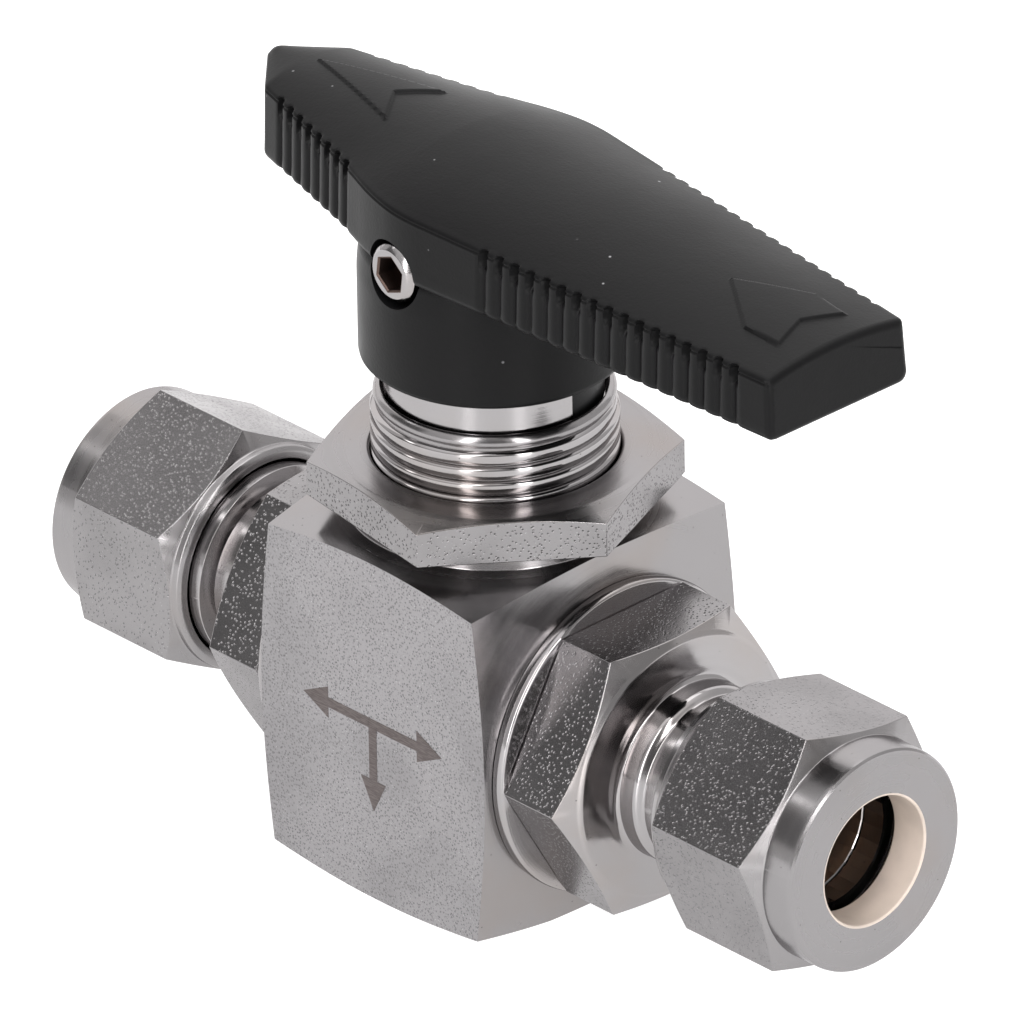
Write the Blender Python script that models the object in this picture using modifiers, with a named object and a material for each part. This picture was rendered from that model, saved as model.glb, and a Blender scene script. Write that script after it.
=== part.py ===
# Three way ball valve with two tube fittings, a bottom port and a lever handle.
# The origin is the middle of the flat bottom face: +X runs along the ports, +Z along the stem.

import bpy
import bmesh
from math import cos, pi, radians, sin
from mathutils import Matrix, Vector

MM = 0.001
GAP = 0.3 * MM                     # running clearance between neighbours
FINE = 48                          # segments of a visible turned piece
COARSE = 28                        # segments of a hidden turned piece

# ---- body block -----------------------------------------------------------------------
AXIS_Z = 14.3 * MM                 # port axis above the bottom face
BODY_HALF_Y = 13.35 * MM
BODY_HALF_X = 12.4 * MM            # at the spot faces round the ports
SPOT_R = 12.8 * MM                 # spot face where an end connector seats
END_SLOPE = 0.19                   # fall of the turned end faces, per unit of radius
TOP_SLOPE = 0.22                   # fall of the turned top shoulder
BOTTOM_SLOPE = 0.20
BOTTOM_FLAT_R = 11.0 * MM
SHOULDER_Z = AXIS_Z + 15.2 * MM    # where the top shoulder meets the neck
SHOULDER_R = 12.2 * MM
PANEL_SEAT_R = 11.6 * MM
PANEL_SEAT_Z = AXIS_Z + 16.3 * MM
THREAD_R = 9.5 * MM                # panel thread, 3/4 inch class
NECK_TOP_Z = AXIS_Z + 25.6 * MM
NECK_CHAMFER = 0.45 * MM

# ---- bores of the body ----------------------------------------------------------------
CAVITY_R = 7.8 * MM
CAVITY_HALF = 8.7 * MM
PORT_THREAD_R = 8.8 * MM
FLOW_R = 3.5 * MM
BOTTOM_PORT_R = 4.95 * MM          # pipe thread in the bottom face
BOTTOM_PORT_TOP = AXIS_Z - 8.2 * MM
BOTTOM_FLOW_R = 3.2 * MM
STEM_POCKET_R = 4.8 * MM
STEM_POCKET_TOP = AXIS_Z + 9.9 * MM
STEM_BORE_R = 3.35 * MM
PACKING_BORE_R = 5.5 * MM
PACKING_FLOOR = AXIS_Z + 12.4 * MM
COLLAR_POCKET_R = 8.8 * MM
COLLAR_FLOOR = AXIS_Z + 22.7 * MM

# ---- fittings along the port axis, measured outward from the ball centre --------------
FLANGE_R = 12.65 * MM
FLANGE_BASE = 12.65 * MM
FLANGE_TOP = 13.6 * MM
CONNECTOR_AF = 21.9 * MM
CONNECTOR_HEX_END = 18.9 * MM
CONNECTOR_END = 33.8 * MM
SHANK_R = 8.5 * MM
SHANK_END = 9.0 * MM
TUBE_R = 5.15 * MM                 # socket for a 10 mm tube
TUBE_STOP = 26.2 * MM
FITTING_THREAD_R = 7.9 * MM
NUT_AF = 18.86 * MM
NUT_HEX_START = 27.6 * MM
NUT_HEX_END = 37.0 * MM
NUT_COLLAR_R = 9.05 * MM
NUT_FACE = 40.75 * MM
NUT_START = 26.0 * MM
RIGHT_NUT_TURN = -11.4             # degrees each nut happens to be turned to
LEFT_NUT_TURN = -27.0

# ---- panel nut ------------------------------------------------------------------------
PANEL_NUT_AF = 25.0 * MM
PANEL_NUT_Z = AXIS_Z + 16.6 * MM
PANEL_NUT_CORNER_Z = AXIS_Z + 19.5 * MM
PANEL_NUT_TOP_Z = AXIS_Z + 20.2 * MM
PANEL_NUT_TURN = -8.3

# ---- ball, stem and packing -----------------------------------------------------------
BALL_R = 7.0 * MM
STEM_R = 3.0 * MM
STEM_TOP = AXIS_Z + 38.4 * MM
STEM_COLLAR_Z = AXIS_Z + 7.4 * MM
STEM_COLLAR_TOP = AXIS_Z + 8.8 * MM
STEM_COLLAR_R = 4.5 * MM
TANG_X, TANG_Y = 2.6 * MM, 6.0 * MM
SLOT_FLOOR = AXIS_Z + 4.6 * MM

# ---- stop collar and the lug that turns in its cut-away ---------------------------------
COLLAR_R, COLLAR_BORE_R = 8.5 * MM, 6.5 * MM
COLLAR_Z = AXIS_Z + 22.95 * MM
COLLAR_LOW = AXIS_Z + 24.3 * MM
COLLAR_TOP = AXIS_Z + 28.1 * MM
COLLAR_ARC = (-132.0, 0.0)         # degrees round +Z kept solid
LUG_ARC = (1.2, 46.8)
LUG_Z = AXIS_Z + 24.6 * MM

# ---- handle -----------------------------------------------------------------------------
HUB_R = 10.3 * MM
HUB_Z = AXIS_Z + 28.5 * MM
ARM_Z = AXIS_Z + 37.2 * MM
NOSE_X = -24.3 * MM                # tip of the short pointed arm
NOSE_BASE_X, NOSE_BASE_HALF = -20.0 * MM, 4.3 * MM
HIP_X, HIP_HALF = -8.0 * MM, 7.9 * MM
WIDE_X, WIDE_HALF = 1.5 * MM, 9.65 * MM
TAIL_X, TAIL_HALF = 36.7 * MM, 6.15 * MM
NOSE_TOP, TAIL_TOP = AXIS_Z + 44.85 * MM, AXIS_Z + 42.15 * MM
RIDGE_X, RIDGE_TOP = -3.0 * MM, AXIS_Z + 46.2 * MM     # highest point of the crowned top
NOSE_RIDGE, TAIL_RIDGE = AXIS_Z + 45.0 * MM, AXIS_Z + 42.7 * MM
DRAFT = 0.09                       # outward lean of the flanks towards the underside
RIB_DEPTH = 0.35 * MM
LONG_RIBS = (8.7 * MM, 1.6 * MM, 16)   # start, pitch and count on the long arm
SHORT_RIBS = (-19.3 * MM, 1.42 * MM, 8)
LEDGE = 0.5 * MM                   # smooth edge left above the ribs
SET_SCREW_Z = AXIS_Z + 38.3 * MM
SET_SCREW_R = 2.4 * MM
SET_SCREW_FACE = -9.9 * MM

# ---- materials: colour, metallic, roughness ----------------------------------------------
STEEL = ((0.56, 0.55, 0.54), 1.0, 0.32)
BRIGHT_STEEL = ((0.66, 0.65, 0.64), 1.0, 0.16)
NYLON = ((0.035, 0.035, 0.037), 0.0, 0.48)
PTFE = ((0.86, 0.85, 0.82), 0.0, 0.45)
ELASTOMER = ((0.03, 0.03, 0.03), 0.0, 0.6)
SPRING_STEEL = ((0.36, 0.35, 0.36), 1.0, 0.3)


def clear_scene():
    for item in list(bpy.data.objects):
        bpy.data.objects.remove(item, do_unlink=True)


def new_collection(name):
    made = bpy.data.collections.new(name)
    bpy.context.scene.collection.children.link(made)
    return made


def material_for(name, look):
    colour, metallic, roughness = look
    made = bpy.data.materials.new(name)
    made.use_nodes = True
    shader = made.node_tree.nodes["Principled BSDF"]
    shader.inputs["Base Color"].default_value = (*colour, 1.0)
    shader.inputs["Metallic"].default_value = metallic
    shader.inputs["Roughness"].default_value = roughness
    return made


def add_object(name, mesh, collection, look=None):
    made = bpy.data.objects.new(name, mesh)
    collection.objects.link(made)
    if look:
        mesh.materials.append(material_for(name + "_material", look))
    return made


def mesh_from(name, verts, faces):
    """A closed mesh from its corners and faces, with every face turned outward."""
    built = bmesh.new()
    corners = [built.verts.new(v) for v in verts]
    for face in faces:
        built.faces.new([corners[i] for i in face])
    bmesh.ops.recalc_face_normals(built, faces=built.faces)
    mesh = bpy.data.meshes.new(name)
    built.to_mesh(mesh)
    built.free()
    return mesh


def turned(name, profile, collection, look=None, steps=FINE, closed=True):
    """Spin a half outline of (radius, height) points round the local Z axis.

    The outline runs down its outer side, and closes up its bore when closed is set."""
    mesh = bpy.data.meshes.new(name)
    edges = [(i, i + 1) for i in range(len(profile) - 1)]
    if closed:
        edges.append((len(profile) - 1, 0))
    mesh.from_pydata([(r, 0.0, z) for r, z in profile], edges, [])
    made = add_object(name, mesh, collection, look)
    screw = made.modifiers.new("turn", "SCREW")
    screw.axis = "Z"
    screw.angle = 2 * pi
    screw.steps = screw.render_steps = steps
    screw.use_merge_vertices = True
    screw.merge_threshold = 0.00001
    screw.use_smooth_shade = True
    return made


def cut(target, tool, operation="DIFFERENCE"):
    step = target.modifiers.new(operation.lower(), "BOOLEAN")
    step.operation = operation
    step.solver = "EXACT"
    step.object = tool
    return step


def hexagon(af, z, turn=0.0):
    """Corners of a hexagon across-flats af, its first corner at turn degrees."""
    reach = af / 2 / cos(pi / 6)
    return [(reach * cos(radians(turn + 60 * k)), reach * sin(radians(turn + 60 * k)), z)
            for k in range(6)]


def hex_prism(name, af, z0, z1, turn, collection):
    verts = hexagon(af, z0, turn) + hexagon(af, z1, turn)
    sides = [(k, (k + 1) % 6, 6 + (k + 1) % 6, 6 + k) for k in range(6)]
    faces = [tuple(range(6)), tuple(range(6, 12))] + sides
    return add_object(name, mesh_from(name, verts, faces), collection)


def hex_shaver(name, af, outer, z0, z1, turn, collection):
    """A thick ring with a hexagonal hole, which shaves a round zone down to a hexagon."""
    rings = [hexagon(af, z0, turn), hexagon(af, z1, turn),
             hexagon(outer, z0, turn), hexagon(outer, z1, turn)]
    verts = [v for ring in rings for v in ring]
    faces = []
    for k in range(6):
        n = (k + 1) % 6
        faces += [(k, n, 6 + n, 6 + k), (12 + k, 12 + n, 18 + n, 18 + k),
                  (k, n, 12 + n, 12 + k), (6 + k, 6 + n, 18 + n, 18 + k)]
    return add_object(name, mesh_from(name, verts, faces), collection)


def box(name, x0, x1, y0, y1, z0, z1, collection):
    verts = [(x, y, z) for z in (z0, z1) for y in (y0, y1) for x in (x0, x1)]
    faces = [(0, 1, 3, 2), (4, 5, 7, 6), (0, 1, 5, 4), (2, 3, 7, 6), (0, 2, 6, 4), (1, 3, 7, 5)]
    return add_object(name, mesh_from(name, verts, faces), collection)


def ring_sector(name, r0, r1, arc, z0, z1, collection, steps=16):
    """A block bent round the Z axis between two radii and two angles."""
    a0, a1 = radians(arc[0]), radians(arc[1])
    verts = []
    for i in range(steps + 1):
        a = a0 + (a1 - a0) * i / steps
        for r, z in ((r0, z0), (r1, z0), (r1, z1), (r0, z1)):
            verts.append((r * cos(a), r * sin(a), z))
    faces = [(0, 1, 2, 3), tuple(4 * steps + k for k in range(4))]
    for i in range(steps):
        for k in range(4):
            n = (k + 1) % 4
            faces.append((4 * i + k, 4 * i + n, 4 * i + 4 + n, 4 * i + 4 + k))
    return add_object(name, mesh_from(name, verts, faces), collection)


def point_along_port(item, side):
    """Lay a piece that was modelled along +Z on the port axis, facing +X or -X."""
    item.location = (0.0, 0.0, AXIS_Z)
    item.rotation_euler = (0.0, side * pi / 2, 0.0)


# ---- body -------------------------------------------------------------------------------
def body_envelope_z():
    """Half outline of everything that was turned round the stem axis."""
    far = 24 * MM
    lower = (far - BOTTOM_FLAT_R) * BOTTOM_SLOPE
    return [(0.0, NECK_TOP_Z), (THREAD_R - NECK_CHAMFER, NECK_TOP_Z),
            (THREAD_R, NECK_TOP_Z - NECK_CHAMFER), (THREAD_R, PANEL_SEAT_Z),
            (PANEL_SEAT_R, PANEL_SEAT_Z), (PANEL_SEAT_R, SHOULDER_Z + 0.2 * MM),
            (SHOULDER_R, SHOULDER_Z), (far, SHOULDER_Z - (far - SHOULDER_R) * TOP_SLOPE),
            (far, lower), (BOTTOM_FLAT_R, 0.0), (0.0, 0.0)]


def body_envelope_x():
    """Half outline of the two end faces, turned round the port axis."""
    far = 30 * MM
    reach = BODY_HALF_X - (far - SPOT_R) * END_SLOPE
    return [(0.0, BODY_HALF_X), (SPOT_R, BODY_HALF_X), (far, reach),
            (far, -reach), (SPOT_R, -BODY_HALF_X), (0.0, -BODY_HALF_X)]


def stem_bore():
    """Half outline of the stem bore, the packing chamber and the collar pocket."""
    return [(0.0, NECK_TOP_Z + 3 * MM), (COLLAR_POCKET_R, NECK_TOP_Z + 3 * MM),
            (COLLAR_POCKET_R, COLLAR_FLOOR), (PACKING_BORE_R, COLLAR_FLOOR),
            (PACKING_BORE_R, PACKING_FLOOR), (STEM_BORE_R, PACKING_FLOOR),
            (STEM_BORE_R, STEM_POCKET_TOP), (STEM_POCKET_R, STEM_POCKET_TOP),
            (STEM_POCKET_R, AXIS_Z + 5 * MM), (0.0, AXIS_Z + 5 * MM)]


def bottom_port():
    """Half outline of the threaded port in the bottom face."""
    mouth = BOTTOM_PORT_R + 0.7 * MM
    return [(0.0, AXIS_Z - 6 * MM), (BOTTOM_FLOW_R, AXIS_Z - 6 * MM),
            (BOTTOM_FLOW_R, BOTTOM_PORT_TOP), (BOTTOM_PORT_R - 0.25 * MM, BOTTOM_PORT_TOP),
            (BOTTOM_PORT_R, 0.7 * MM), (mouth, 0.0), (mouth, -MM), (0.0, -MM)]


def port_bore():
    """Half outline of the through bore along the port axis."""
    end = BODY_HALF_X + MM
    return [(0.0, end), (PORT_THREAD_R, end), (PORT_THREAD_R, CAVITY_HALF),
            (CAVITY_R, CAVITY_HALF), (CAVITY_R, -CAVITY_HALF),
            (PORT_THREAD_R, -CAVITY_HALF), (PORT_THREAD_R, -end), (0.0, -end)]


def make_body(parts, tools):
    mesh_owner = box("valve_body", -BODY_HALF_X - MM, BODY_HALF_X + MM,
                     -BODY_HALF_Y, BODY_HALF_Y, -MM, NECK_TOP_Z + MM, parts)
    mesh_owner.data.materials.append(material_for("valve_body_material", STEEL))
    round_z = turned("cut_turned_about_stem", body_envelope_z(), tools, closed=False)
    round_x = turned("cut_turned_about_port", body_envelope_x(), tools, closed=False)
    point_along_port(round_x, 1)
    bore_x = turned("cut_port_bore", port_bore(), tools, closed=False)
    point_along_port(bore_x, 1)
    bore_z = turned("cut_stem_bore", stem_bore(), tools, closed=False)
    port_z = turned("cut_bottom_port", bottom_port(), tools, closed=False, steps=48)
    cut(mesh_owner, round_x, "INTERSECT")
    cut(mesh_owner, round_z, "INTERSECT")
    for tool in (bore_x, bore_z, port_z):
        cut(mesh_owner, tool)


def make_panel_nut(parts, tools):
    corner = PANEL_NUT_AF / 2 / cos(pi / 6)
    bore = THREAD_R + GAP
    outline = [(bore + 0.3 * MM, PANEL_NUT_TOP_Z), (12.0 * MM, PANEL_NUT_TOP_Z),
               (corner + 0.2 * MM, PANEL_NUT_CORNER_Z), (corner + 0.2 * MM, PANEL_NUT_Z + 0.2 * MM),
               (corner - 0.4 * MM, PANEL_NUT_Z), (bore + 0.3 * MM, PANEL_NUT_Z),
               (bore, PANEL_NUT_Z + 0.3 * MM), (bore, PANEL_NUT_TOP_Z - 0.3 * MM)]
    nut = turned("panel_nut", outline, parts, STEEL, steps=72)
    prism = hex_prism("cut_panel_nut_hex", PANEL_NUT_AF, PANEL_NUT_Z - MM,
                      PANEL_NUT_TOP_Z + MM, PANEL_NUT_TURN, tools)
    cut(nut, prism, "INTERSECT")


# ---- end connectors and tube fittings ------------------------------------------------------
def connector_outline():
    ring_edge = 0.25 * MM
    groove = (10.2 * MM, 12.0 * MM, 7.0 * MM)
    return [(6.5 * MM, CONNECTOR_END), (FITTING_THREAD_R - 0.4 * MM, CONNECTOR_END),
            (FITTING_THREAD_R, CONNECTOR_END - 0.4 * MM), (FITTING_THREAD_R, 25.2 * MM),
            (6.9 * MM, 25.2 * MM), (6.9 * MM, 22.4 * MM), (7.25 * MM, 22.1 * MM),
            (7.25 * MM, 20.5 * MM), (7.6 * MM, 20.15 * MM), (10.8 * MM, 19.7 * MM),
            (FLANGE_R, CONNECTOR_HEX_END),
            (FLANGE_R, FLANGE_BASE + ring_edge), (FLANGE_R - ring_edge, FLANGE_BASE),
            (SHANK_R, FLANGE_BASE), (SHANK_R, groove[1]), (groove[2], groove[1]),
            (groove[2], groove[0]), (SHANK_R, groove[0]), (SHANK_R, SHANK_END),
            (FLOW_R, SHANK_END), (FLOW_R, TUBE_STOP), (TUBE_R, TUBE_STOP),
            (TUBE_R, 31.2 * MM)]


def nut_outline():
    corner = NUT_AF / 2 / cos(pi / 6)
    bore = FITTING_THREAD_R + GAP
    edge = 0.35 * MM
    return [(TUBE_R + 0.2 * MM, NUT_FACE), (NUT_COLLAR_R - edge, NUT_FACE),
            (NUT_COLLAR_R, NUT_FACE - edge), (NUT_COLLAR_R, NUT_HEX_END + 0.85 * MM),
            (corner + 0.1 * MM, NUT_HEX_END - 0.05 * MM),
            (corner + 0.1 * MM, NUT_HEX_START), (9.3 * MM, NUT_HEX_START - 0.8 * MM),
            (9.2 * MM, NUT_START + 0.3 * MM), (8.9 * MM, NUT_START),
            (bore + 0.2 * MM, NUT_START), (bore, NUT_START + 0.2 * MM), (bore, 34.8 * MM),
            (7.1 * MM, 34.8 * MM), (7.1 * MM, 35.6 * MM),
            (TUBE_R + 0.05 * MM, 37.5 * MM), (TUBE_R + 0.05 * MM, NUT_FACE - 0.15 * MM)]


def front_ferrule_outline():
    inner = TUBE_R + 0.05 * MM
    return [(inner + 0.6 * MM, 34.5 * MM), (6.6 * MM, 34.5 * MM), (6.6 * MM, 34.1 * MM),
            (inner + 0.25 * MM, 31.8 * MM), (inner, 31.8 * MM), (inner, 34.1 * MM)]


def back_ferrule_outline():
    inner = TUBE_R + 0.05 * MM
    return [(inner, 36.4 * MM), (6.2 * MM, 35.9 * MM), (6.6 * MM, 35.3 * MM),
            (6.6 * MM, 34.8 * MM), (inner + 0.7 * MM, 34.8 * MM), (inner, 34.4 * MM)]


def seat_outline():
    """A ring with a spherical face that follows the ball at a small clearance."""
    near = BALL_R + GAP
    contact = [3.8 * MM, 4.5 * MM, 5.2 * MM, 5.8 * MM]
    face = [(r, (near * near - r * r) ** 0.5) for r in contact]
    return [(3.8 * MM, 7.55 * MM), (7.5 * MM, 7.55 * MM), (7.5 * MM, face[-1][1])] + face[::-1]


def make_side(side, word, nut_turn, parts, tools):
    connector = turned("end_connector_" + word, connector_outline(), parts, BRIGHT_STEEL)
    shaver = hex_shaver("cut_connector_hex_" + word, CONNECTOR_AF, 36 * MM,
                        FLANGE_TOP, CONNECTOR_HEX_END + 2 * MM, 0.0, tools)
    cut(connector, shaver)
    nut = turned("tube_nut_" + word, nut_outline(), parts, STEEL)
    prism = hex_prism("cut_nut_hex_" + word, NUT_AF, NUT_START - MM, NUT_FACE + MM,
                      0.0, tools)
    cut(nut, prism, "INTERSECT")
    rings = [
        turned("front_ferrule_" + word, front_ferrule_outline(), parts, STEEL, COARSE),
        turned("back_ferrule_" + word, back_ferrule_outline(), parts, STEEL, COARSE),
        turned("seat_" + word, seat_outline(), parts, PTFE, COARSE),
        turned("seat_support_" + word,
               [(3.8 * MM, 8.6 * MM), (7.5 * MM, 8.6 * MM), (7.5 * MM, 7.85 * MM),
                (3.8 * MM, 7.85 * MM)], parts, STEEL, COARSE),
        turned("body_seal_" + word, round_ring(7.95 * MM, 0.68 * MM, 11.1 * MM),
               parts, ELASTOMER, COARSE)]
    for item in [connector, shaver, nut, prism] + rings:
        point_along_port(item, side)
    for item, turn in ((connector, 0.0), (shaver, 0.0), (nut, nut_turn), (prism, nut_turn)):
        turn_about_port(item, side, turn)


def turn_about_port(item, side, degrees):
    """Point local +Z along the port and local +X, a hexagon corner, at an angle from +Y."""
    corner = Vector((0.0, cos(radians(degrees)), sin(radians(degrees))))
    outward = Vector((side, 0.0, 0.0))
    basis = Matrix((corner, outward.cross(corner), outward)).transposed()
    item.rotation_euler = basis.to_euler()


def round_ring(middle, thickness, height, points=8):
    """Outline of an O-ring's section, running down its outer side."""
    return [(middle + thickness * sin(2 * pi * k / points),
             height + thickness * cos(2 * pi * k / points)) for k in range(points)]


# ---- ball, stem and packing ------------------------------------------------------------------
def ball_passage(radius, end):
    """Half outline of one leg of the bent passage, from just past the ball's middle."""
    return [(0.0, end), (radius, end), (radius, -10 * MM), (0.0, -10 * MM)]


def make_ball(parts, tools):
    outline = [(BALL_R * sin(pi * k / 16), BALL_R * cos(pi * k / 16)) for k in range(17)]
    outline[0], outline[-1] = (0.0, BALL_R), (0.0, -BALL_R)
    ball = turned("ball", outline, parts, BRIGHT_STEEL, closed=False, steps=32)
    ball.location = (0.0, 0.0, AXIS_Z)
    down = turned("cut_ball_down", ball_passage(FLOW_R, 2.4 * MM), tools,
                  closed=False, steps=24)
    down.location = ball.location
    across = turned("cut_ball_across", ball_passage(FLOW_R - 0.15 * MM, 2.0 * MM), tools,
                    closed=False, steps=28)
    point_along_port(across, 1)
    slot = box("cut_ball_slot", -TANG_X / 2 - GAP, TANG_X / 2 + GAP, -BALL_R, BALL_R,
               SLOT_FLOOR, AXIS_Z + 9 * MM, tools)
    for tool in (down, across, slot):
        cut(ball, tool)


def make_stem(parts, tools):
    outline = [(0.0, STEM_TOP), (STEM_R - 0.3 * MM, STEM_TOP), (STEM_R, STEM_TOP - 0.3 * MM),
               (STEM_R, STEM_COLLAR_TOP), (STEM_COLLAR_R, STEM_COLLAR_TOP),
               (STEM_COLLAR_R, STEM_COLLAR_Z), (0.0, STEM_COLLAR_Z)]
    stem = turned("stem", outline, parts, BRIGHT_STEEL, closed=False, steps=32)
    tang = box("join_stem_tang", -TANG_X / 2, TANG_X / 2, -TANG_Y / 2, TANG_Y / 2,
               SLOT_FLOOR + GAP, STEM_COLLAR_Z + 0.4 * MM, tools)
    flat = box("cut_stem_flat", -5 * MM, 5 * MM, -5 * MM, -2.6 * MM,
               SET_SCREW_Z - 3 * MM, STEM_TOP + MM, tools)
    cut(stem, tang, "UNION")
    cut(stem, flat)


def flat_ring(name, inner, outer, z0, z1, parts, look):
    outline = [(inner, AXIS_Z + z1), (outer, AXIS_Z + z1), (outer, AXIS_Z + z0),
               (inner, AXIS_Z + z0)]
    return turned(name, outline, parts, look, COARSE)


def disc_spring(name, z0, thick, rise, parts):
    """A coned washer: its inner edge stands higher than its outer edge."""
    inner, outer = STEM_R + GAP, PACKING_BORE_R - GAP
    z = AXIS_Z + z0
    outline = [(inner, z + rise + thick), (outer, z + thick), (outer, z), (inner, z + rise)]
    return turned(name, outline, parts, SPRING_STEEL, COARSE)


def make_packing(parts, tools):
    inner, outer = STEM_R + GAP, PACKING_BORE_R - 0.2 * MM
    flat_ring("stem_thrust_washer", inner, 4.55 * MM, 9.05 * MM, 9.65 * MM, parts, PTFE)
    flat_ring("stem_packing_lower", inner, outer, 12.6 * MM, 14.2 * MM, parts, PTFE)
    flat_ring("stem_packing_upper", inner, outer, 14.4 * MM, 16.0 * MM, parts, PTFE)
    flat_ring("packing_gland", inner, outer, 16.2 * MM, 17.8 * MM, parts, STEEL)
    disc_spring("disc_spring_lower", 18.0 * MM, 0.4 * MM, 0.3 * MM, parts)
    disc_spring("disc_spring_upper", 18.95 * MM, 0.4 * MM, 0.3 * MM, parts)
    nut = flat_ring("packing_nut", inner, outer, 19.9 * MM, 22.4 * MM, parts, STEEL)
    slot = box("cut_packing_nut_slot", -0.9 * MM, 0.9 * MM, -8 * MM, 8 * MM,
               AXIS_Z + 21.4 * MM, AXIS_Z + 23 * MM, tools)
    cut(nut, slot)


def make_stop_collar(parts):
    """A ring with one tall arc: the ends of the arc stop the handle's lug."""
    steps = 60
    a0, a1 = COLLAR_ARC
    tall = steps * (a1 - a0) / 360.0
    tall_count = int(round(tall))
    angles = [radians(a0 + (a1 - a0) * k / tall_count) for k in range(tall_count)]
    rest = steps - tall_count
    angles += [radians(a1 + (360.0 + a0 - a1) * k / rest) for k in range(rest)]
    levels = (COLLAR_Z, COLLAR_LOW, COLLAR_TOP)
    verts, index = [], {}
    for i, a in enumerate(angles):
        on_arc = i <= tall_count
        for j, z in enumerate(levels):
            if j == 2 and not on_arc:
                continue
            for k, r in enumerate((COLLAR_BORE_R, COLLAR_R)):
                index[i, j, k] = len(verts)
                verts.append((r * cos(a), r * sin(a), z))
    faces = []
    for i in range(steps):
        n = (i + 1) % steps
        tiers = (0, 1) if i < tall_count else (0,)
        faces.append(tuple(index[p] for p in ((i, 0, 0), (i, 0, 1), (n, 0, 1), (n, 0, 0))))
        top = tiers[-1] + 1
        faces.append(tuple(index[p] for p in ((i, top, 0), (i, top, 1), (n, top, 1), (n, top, 0))))
        for j in tiers:
            for k in (0, 1):
                faces.append(tuple(index[p] for p in
                                   ((i, j, k), (n, j, k), (n, j + 1, k), (i, j + 1, k))))
    for i in (0, tall_count):
        faces.append(tuple(index[p] for p in ((i, 1, 0), (i, 1, 1), (i, 2, 1), (i, 2, 0))))
    add_object("stop_collar", mesh_from("stop_collar", verts, faces), parts, BRIGHT_STEEL)


# ---- handle --------------------------------------------------------------------------------
def half_width(x):
    """Half width of the handle at the top edge of its flank."""
    if x < NOSE_BASE_X:
        return NOSE_BASE_HALF * (x - NOSE_X) / (NOSE_BASE_X - NOSE_X)
    if x < HIP_X:
        t = (x - NOSE_BASE_X) / (HIP_X - NOSE_BASE_X)
        return NOSE_BASE_HALF + (HIP_HALF - NOSE_BASE_HALF) * t
    if x < WIDE_X:
        t = (x - HIP_X) / (WIDE_X - HIP_X)
        return HIP_HALF + (WIDE_HALF - HIP_HALF) * (1.65 * t - 0.65 * t * t)
    t = (x - WIDE_X) / (TAIL_X - WIDE_X)
    return WIDE_HALF + (TAIL_HALF - WIDE_HALF) * t


def edge_height(x):
    t = (x - NOSE_X) / (TAIL_X - NOSE_X)
    return NOSE_TOP + (TAIL_TOP - NOSE_TOP) * t


def ridge_height(x):
    """Height of the crowned top along its middle."""
    if x < RIDGE_X:
        t = (x - RIDGE_X) / (NOSE_X - RIDGE_X)
        return RIDGE_TOP + (NOSE_RIDGE - RIDGE_TOP) * t ** 2.5
    t = (x - RIDGE_X) / (TAIL_X - RIDGE_X)
    return RIDGE_TOP + (TAIL_RIDGE - RIDGE_TOP) * t ** 1.25


def handle_stations():
    """Places along the handle where its section is drawn, with the rib depth there."""
    stations = [(NOSE_X + 0.45 * MM, 0.0), (NOSE_X + 1.0 * MM, 0.0), (NOSE_X + 2.2 * MM, 0.0),
                (NOSE_BASE_X - 0.4 * MM, 0.0)]
    for start, pitch, count in (SHORT_RIBS, LONG_RIBS):
        for k in range(count):
            x = start + pitch * k
            stations += [(x, 0.0), (x + 0.35 * pitch, RIB_DEPTH), (x + 0.7 * pitch, RIB_DEPTH)]
        stations.append((start + pitch * count, 0.0))
        if start < 0:
            stations += [(x * MM, 0.0) for x in (-5.5, -3.0, -0.8, 1.5, 3.8, 6.2)]
    stations += [(TAIL_X - 0.4 * MM, 0.0), (TAIL_X, 0.0)]
    return stations


def handle_section(x, groove):
    """One cross-section as (y, z) points, going round from the bottom on the -Y side."""
    top_half = half_width(x)
    edge = edge_height(x)
    shrink = 0.35 * MM if x > TAIL_X - 0.1 * MM else 0.0
    crown = ridge_height(x) - edge
    low = ARM_Z + shrink
    lean = DRAFT * (edge - low)
    bottom_half = top_half + lean - 0.25 * MM
    side = [(-bottom_half + 0.5 * MM + groove, low), (-bottom_half + groove, low + 0.5 * MM),
            (-top_half - 0.12 * MM + groove, edge - LEDGE - 0.7 * MM),
            (-top_half - 0.05 * MM, edge - LEDGE), (-top_half, edge - 0.2 * MM - shrink)]
    top = [(-top_half * f, edge - shrink + crown * (1 - f * f)) for f in (0.95, 0.7, 0.38)]
    half = side + top
    return half + [(0.0, edge - shrink + crown)] + [(-y, z) for y, z in reversed(half)]


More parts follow.
